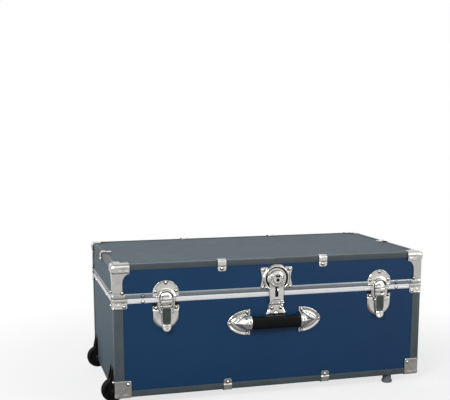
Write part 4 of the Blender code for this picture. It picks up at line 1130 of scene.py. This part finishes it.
def handle_cap(side):
    """A pressed end cap: a flat rim, a hollow bullet-shaped ridge and a crease that runs to the tip."""
    half = 0.0305
    steps = [sin(pi / 2 * i / 22) for i in range(22)]
    edge = [(MOUTH + (TIP - MOUTH) * t, half * (1 - t**2.2) ** 0.62) for t in steps]
    outline = [(side * x, HANDLE_Z + z) for x, z in edge]
    outline.append((side * TIP, HANDLE_Z))
    outline += [(side * x, HANDLE_Z - z) for x, z in reversed(edge)]

    def height(x, z, d):
        along = (side * x - MOUTH) / (TIP - MOUTH)
        across = abs(z - HANDLE_Z)
        width = 0.0200 * (1 - smooth(along, 0.10, 0.86) * 0.94)
        tall = 0.0205 * (1 - smooth(along, 0.18, 0.90))
        round_part = sqrt(max(1 - (across / width) ** 2, 0.0)) if across < width else 0.0
        peak = max(1 - across / width, 0.0)
        sharp = smooth(along, 0.10, 0.55)
        ridge = tall * (round_part * (1 - sharp * 0.55) + peak * sharp * 0.55)
        rolled = 0.0012 * bulge(d, 0.0016, 0.0018) * smooth(along, 0.02, 0.06)
        crease = -0.0010 * bulge(d, 0.0072, 0.0012)
        shoulder = 0.0026 * smooth(d, 0.0074, 0.0096)
        return 0.0022 + max(ridge, shoulder) + rolled + crease

    cap = pressed(outline, height, 0.0012, 0.0014)
    by_mouth = side * 0.0672
    places = [(side * (TIP - 0.0048), HANDLE_Z)]
    places += [(by_mouth, HANDLE_Z + 0.0256), (by_mouth, HANDLE_Z - 0.0256)]
    strap = moved(dome(0.0034, 0.0215, 0.0022), at(by_mouth, HANDLE_Z))
    return [cap, strap, *rivets(places, 0.0020, 0.0033, 0.0036)]


def squarish(value):
    """A circle's coordinate, pushed out towards a square."""
    return abs(value) ** 0.62 * (1 if value > 0 else -1)


def grip():
    """The moulded grip, a soft rectangle in section that is fuller in the middle, on its steel strap."""
    half, near, far, tall = 0.0597, 0.0080, 0.0220, 0.0150
    centre, deep = (near + far) / 2, (far - near) / 2
    sides = 32
    stations = [-1.0, -0.996, -0.985, -0.96, -0.8, -0.4, 0.0, 0.4, 0.8, 0.96, 0.985, 0.996, 1.0]
    turn = [2 * pi * k / sides for k in range(sides)]
    squared = [(squarish(cos(a)), squarish(sin(a))) for a in turn]
    sections = []
    for t in stations:
        shrink = 1 - 0.10 * smooth(abs(t), 0.96, 1.0) ** 2 - 0.03 * abs(t)
        section = [(-centre - x * deep * shrink, HANDLE_Z + z * tall * shrink) for x, z in squared]
        sections.append([(t * half, y, z) for y, z in section])
    strap = box((-0.0650, 0.0650), (0.0090, 0.0110), (HANDLE_Z - 0.0050, HANDLE_Z + 0.0050))
    return [lofted(sections), strap]


def handles():
    for name, wall, sides in (("front", FRONT, ("left", "right")), ("end", RIGHT, ("front", "rear"))):
        for side, sign in zip(sides, (-1, 1)):
            node = f"{name}_handle_{side}_cap"
            finished(f"{node}_fine", handle_cap(sign), NICKEL, "root", [node], wall)
        body, node = f"{name}_grip", f"{name}_handle_grip"
        finished(f"{name}_grip_fine", grip(), BLACK, body, [node], wall)


# Hinges

HINGE_PIN_OUT = 0.0062  # how far the hinges' pins stand off the rear wall


def hinge_leaf(side, spans):
    """A leaf above or below the seam, with a knuckle and its neck for each (low, high) span."""
    start, end = SEAM + side * (BAND + 0.0006), SEAM + side * 0.0370
    outline = both_halves([(0.0220, start), *arc((0.0170, end - side * 0.005), 0.005, 0, side * 90, 5)])

    def height(x, z, d):
        return 0.0016 + 0.0004 * bulge(d, 0.0012, 0.0014)

    made = [pressed(outline, height, 0.0012, 0.003)]
    near, far = SEAM + side * 0.0005, start + side * 0.0030
    section = [(0.0018, near), (0.0038, near), (0.0038, start + side * 0.0015)]
    section += [(0.0026, far), (0.0012, far)]
    for low, high in spans:
        made.append(rod((low, -HINGE_PIN_OUT, SEAM), (high, -HINGE_PIN_OUT, SEAM), 0.0042, 28))
        neck = slab(section, low, high, 0.0003)
        made.append(moved(neck, Matrix.Rotation(-pi / 2, 4, "Z")))
    places = [(x, SEAM + side * 0.0270) for x in (-0.0130, 0.0130)]
    return [*made, *rivets(places, 0.0016, 0.0029, 0.0016)]


def hinges():
    for side in ("left", "right"):
        nodes = {part: f"{side}_hinge_{part}_leaf" for part in ("body", "lid")}
        place = REAR @ Matrix.Translation((CX - middle(nodes["body"])[0], 0, 0))
        pin = rod((-0.0206, -HINGE_PIN_OUT, SEAM), (0.0206, -HINGE_PIN_OUT, SEAM), 0.0013)
        below = [*hinge_leaf(-1, ((-0.0200, -0.0082), (0.0082, 0.0200))), pin]
        above = hinge_leaf(1, ((-0.0078, 0.0078),))
        finished(f"{side}_hinge_body_fine", below, STEEL, "root", [nodes["body"]], place)
        finished(f"{side}_hinge_lid_fine", above, STEEL, "lid", [nodes["lid"]], place)


# Wheels and feet

WHEEL_RADIUS = 0.028


def wheel():
    """A moulded wheel: a rounded tread, a recessed web with spokes, and a hub."""
    bore = 0.0043
    profile = [(bore, 0.0100), (0.0085, 0.0100), (0.0092, 0.0094), (0.0096, 0.0072), (0.0168, 0.0064)]
    profile += [(0.0180, 0.0080), (0.0190, 0.0096), (0.0216, 0.0100), (0.0250, 0.0090), (0.0266, 0.0076)]
    profile += [(0.0276, 0.0052), (WHEEL_RADIUS, 0.0024), (WHEEL_RADIUS, 0.0)]
    whole = [*profile, *[(r, -o) for r, o in reversed(profile[:-1])]]
    made = [turned(whole, 72)]
    spokes = 6
    for k in range(spokes):
        spoke = box((-0.0014, 0.0014), (-0.0086, 0.0086), (0.0080, 0.0190), 0.0004)
        made.append(moved(spoke, Matrix.Rotation(2 * pi * k / spokes, 4, "Y")))
    return made


def cheek_line():
    """The outline of a well's cheek: round the wheel, up the fin, round the hub, and along below."""
    inside = arc((0, 0), 0.0335, 0, 90, 14)
    fin = [(-0.0008, 0.0365), (-0.0010, 0.0480), (-0.0018, 0.0600), (-0.0030, 0.0560), (-0.0048, 0.0480)]
    fin += [(-0.0068, 0.0390), (-0.0086, 0.0300), (-0.0104, 0.0210), (-0.0116, 0.0140)]
    hub = arc((0, 0), 0.0125, 180, 285, 12)
    under = [(0.0140, -0.0112), (0.0240, -0.0098), (0.0360, -0.0082), (0.0480, -0.0066), (0.0335, -0.0062)]
    return [*inside, *fin, *hub, *under]


def well():
    """The moulded well: a bowed shell between two finned cheeks."""
    inner, outer = 0.0130, 0.0155
    bow = [*arc((0, 0), 0.0334, 1, 89, 16), *arc((0, 0), 0.0310, 89, 1, 16)]
    made = [slab(bow, -inner - 0.001, inner + 0.001, 0.0004)]
    line = cheek_line()
    made += [slab(line, inner, outer, 0.0006, 3), slab(line, -outer, -inner, 0.0006, 3)]
    return made


def axle():
    """A bar across the well with a riveted head at each end."""
    end, head, crown = 0.0158, 0.0172, 0.0183
    made = [rod((0, -end, 0), (0, end, 0), 0.0040)]
    for s in (-1, 1):
        profile = [(0, end), (0.0066, end), (0.0066, head), (0.0050, crown), (0, crown)]
        made.append(turned([(radius, s * out) for radius, out in profile], 32))
    return made


def wheels():
    for name in ("front", "rear"):
        node = f"{name}_wheel"
        place = Matrix.Translation(Vector(middle(node)))
        finished(f"{name}_wheel_fine", wheel(), RUBBER, node, [node], place)
        finished(f"{name}_well_fine", well(), BLACK, "root", [f"{node}_well"], place)
        # Painted shade: the axles take the near-black steel, as they sit in shade in the wells.
        finished(f"{name}_axle_fine", axle(), SHADOW_STEEL, "root", [f"{node}_axle"], place)


def feet():
    """Turned studs, wide at the floor and under the box, with a waist between."""
    for name in ("front", "rear"):
        node = f"{name}_foot"
        x, y, _ = middle(node)
        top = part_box(node)[1][2]
        profile = [(0, 0), (0.0112, 0), (0.0124, 0.0006), (0.0130, 0.0020), (0.0130, 0.0050)]
        profile += [(0.0118, 0.0068), (0.0106, 0.0110), (0.0106, top - 0.002), (0.0126, top), (0, top)]
        upright = Matrix.Translation((x, y, 0)) @ Matrix.Rotation(-pi / 2, 4, "X")
        foot = moved(turned(profile, 48), upright)
        finished(f"{name}_foot_fine", [foot], GREY_PLASTIC, "root", [node])


def paint_boards():
    """Finishes for the CAD nodes that stay."""
    for name, node in frame["nodes"].items():
        if "lining" in name:
            material = LINING
        elif "front_panel" in name or "rear_panel" in name:
            material = BLUE
        elif "panel" in name:
            material = GREY
        elif "pin" in name:
            material = STEEL
        else:
            continue
        node.data.materials.clear()
        node.data.materials.append(material)


# Stage


def stage():
    """A white floor that glows as painted light. The eye sees soft contact shadow on it, and metal sees a
    painted reflection, dark where it is near and bright far off.
    """
    bm = bmesh.new()
    bmesh.ops.create_circle(bm, cap_ends=True, segments=64, radius=30.0)
    floor = as_object(bm, "floor")
    made = Shader("pale_floor", 0.8, specular=0.1)
    made.colour(made.ramp(made.noise(0.6, 2.0), (0.3, 0.90), (0.7, 0.94)))
    far = made.node("ShaderNodeVectorMath", operation="LENGTH")
    made.link(made.place, far.inputs[0])
    rays = made.node("ShaderNodeLightPath")

    def glow(strength):
        glowing = made.node("ShaderNodeEmission")
        if isinstance(strength, float):
            glowing.inputs["Strength"].default_value = strength
        else:
            made.link(strength, glowing.inputs["Strength"])
        return glowing.outputs["Emission"]

    def faded(near, distant, low, high):
        """From low at the near distance to high at the distant one."""
        fade = made.node("ShaderNodeMapRange")
        for name, value in (("From Min", near), ("From Max", distant), ("To Min", low), ("To Max", high)):
            fade.inputs[name].default_value = value
        made.link(far.outputs["Value"], fade.inputs["Value"])
        return fade.outputs["Result"]

    dull = made.node("ShaderNodeBsdfDiffuse")
    dull.inputs["Color"].default_value = (0.30, 0.30, 0.31, 1)
    seen = made.either(faded(0.50, 1.00, 0.74, 1.0), made.main.outputs["BSDF"], glow(1.0))
    # Painted reflection: the floor glows for glossy rays, dark near the trunk and bright far off.
    painted_reflection = glow(faded(0.40, 1.35, 0.23, 0.72))
    unseen = made.either(rays.outputs["Is Glossy Ray"], dull.outputs["BSDF"], painted_reflection)
    whole = made.either(rays.outputs["Is Camera Ray"], unseen, seen)
    made.link(whole, made.tree.nodes["Material Output"].inputs["Surface"])
    floor.data.materials.append(made.material)


def area_light(name, place, target, size, power, mirrored=True):
    data = bpy.data.lights.new(name, "AREA")
    data.shape = "RECTANGLE"
    data.size, data.size_y = size
    data.energy = power
    lamp = bpy.data.objects.new(name, data)
    lamp.location = place
    lamp.visible_glossy = mirrored
    lamp.rotation_mode = "QUATERNION"
    lamp.rotation_quaternion = (Vector(target) - Vector(place)).to_track_quat("-Z", "Y")
    bpy.context.scene.collection.objects.link(lamp)


def world():
    """White to the eye. Reflections see a room of bright strips and dark gaps; diffuse light is soft."""
    studio = bpy.data.worlds.new("studio")
    bpy.context.scene.world = studio
    studio.use_nodes = True
    made = Nodes(studio.node_tree)
    made.tree.nodes.clear()

    def halved(source):
        """A coordinate from -1 to 1, put between 0 and 1."""
        scaled = made.node("ShaderNodeMath", operation="MULTIPLY_ADD")
        scaled.inputs[1].default_value = scaled.inputs[2].default_value = 0.5
        made.link(source, scaled.inputs[0])
        return scaled.outputs[0]

    def background(colour, strength):
        lit = made.node("ShaderNodeBackground")
        lit.inputs["Strength"].default_value = strength
        if isinstance(colour, tuple):
            lit.inputs["Color"].default_value = colour
        else:
            made.link(colour, lit.inputs["Color"])
        return lit.outputs["Background"]

    place = made.node("ShaderNodeTexCoord")
    parts = made.node("ShaderNodeSeparateXYZ")
    made.link(place.outputs["Generated"], parts.inputs["Vector"])
    height, side = halved(parts.outputs["Z"]), halved(parts.outputs["X"])
    soft = made.ramp(height, (0.0, 0.10), (0.46, 0.14), (0.56, 0.56), (0.75, 0.34), (1.0, 0.12))
    low_strips = ((0.0, 0.10), (0.47, 0.30), (0.50, 1.20), (0.57, 1.15), (0.60, 0.28))
    high_strips = ((0.66, 0.28), (0.70, 1.40), (0.88, 1.40), (0.94, 0.50), (1.0, 0.50))
    strips = made.ramp(height, *low_strips, *high_strips)
    left_gap = ((0.0, 1.1), (0.16, 1.1), (0.22, 0.30), (0.34, 0.35), (0.42, 1.0))
    right_gap = ((0.82, 1.0), (0.90, 0.30), (1.0, 0.9))
    room_light = made.mixed(strips, made.ramp(side, *left_gap, *right_gap), 1.0)
    rays = made.node("ShaderNodeLightPath")
    room = made.either(rays.outputs["Is Glossy Ray"], background(soft, 0.9), background(room_light, 1.0))
    output = made.node("ShaderNodeOutputWorld")
    white = background((1, 1, 1, 1), 1.0)
    made.link(made.either(rays.outputs["Is Camera Ray"], room, white), output.inputs["Surface"])


def camera():
    """The reference view: its place, aim and roll, and a lens shift that frames the trunk."""
    place = (-0.6175, -2.0170, 0.6300)
    azimuth, elevation, roll = radians(15.317), radians(9.705), radians(-0.078)
    data = bpy.data.cameras.new("camera")
    data.sensor_width = 36.0
    data.lens = 66.745
    data.shift_y = 0.1556
    data.clip_start, data.clip_end = 0.05, 200.0
    made = bpy.data.objects.new("camera", data)
    bpy.context.scene.collection.objects.link(made)
    bpy.context.scene.camera = made
    along = Vector((sin(azimuth) * cos(elevation), cos(azimuth) * cos(elevation), -sin(elevation)))
    right = Vector((cos(azimuth), -sin(azimuth), 0))
    up = right.cross(along)
    right, up = right * cos(roll) + up * sin(roll), up * cos(roll) - right * sin(roll)
    turn = Matrix((right, up, -along)).transposed().to_4x4()
    made.matrix_world = Matrix.Translation(place) @ turn


paint_boards()
edge_bindings()
lid_caps()
rim_caps()
foot_caps()
clamps()
rims()
draw_bolts()
lock()
handles()
hinges()
wheels()
feet()

stage()
area_light("key", (-1.9, -2.3, 2.1), (0, 0, 0.2), (0.9, 0.9), 62)
area_light("fill", (2.2, -2.2, 1.2), (0, 0, 0.2), (1.0, 1.4), 20)
area_light("back", (0.9, 2.6, 0.9), (0, 0, 0.15), (1.6, 1.0), 16, mirrored=False)
area_light("side", (-2.6, -0.2, 0.9), (-0.3, 0, 0.15), (1.2, 1.0), 12)
world()
camera()
bpy.context.scene.view_settings.view_transform = "Standard"
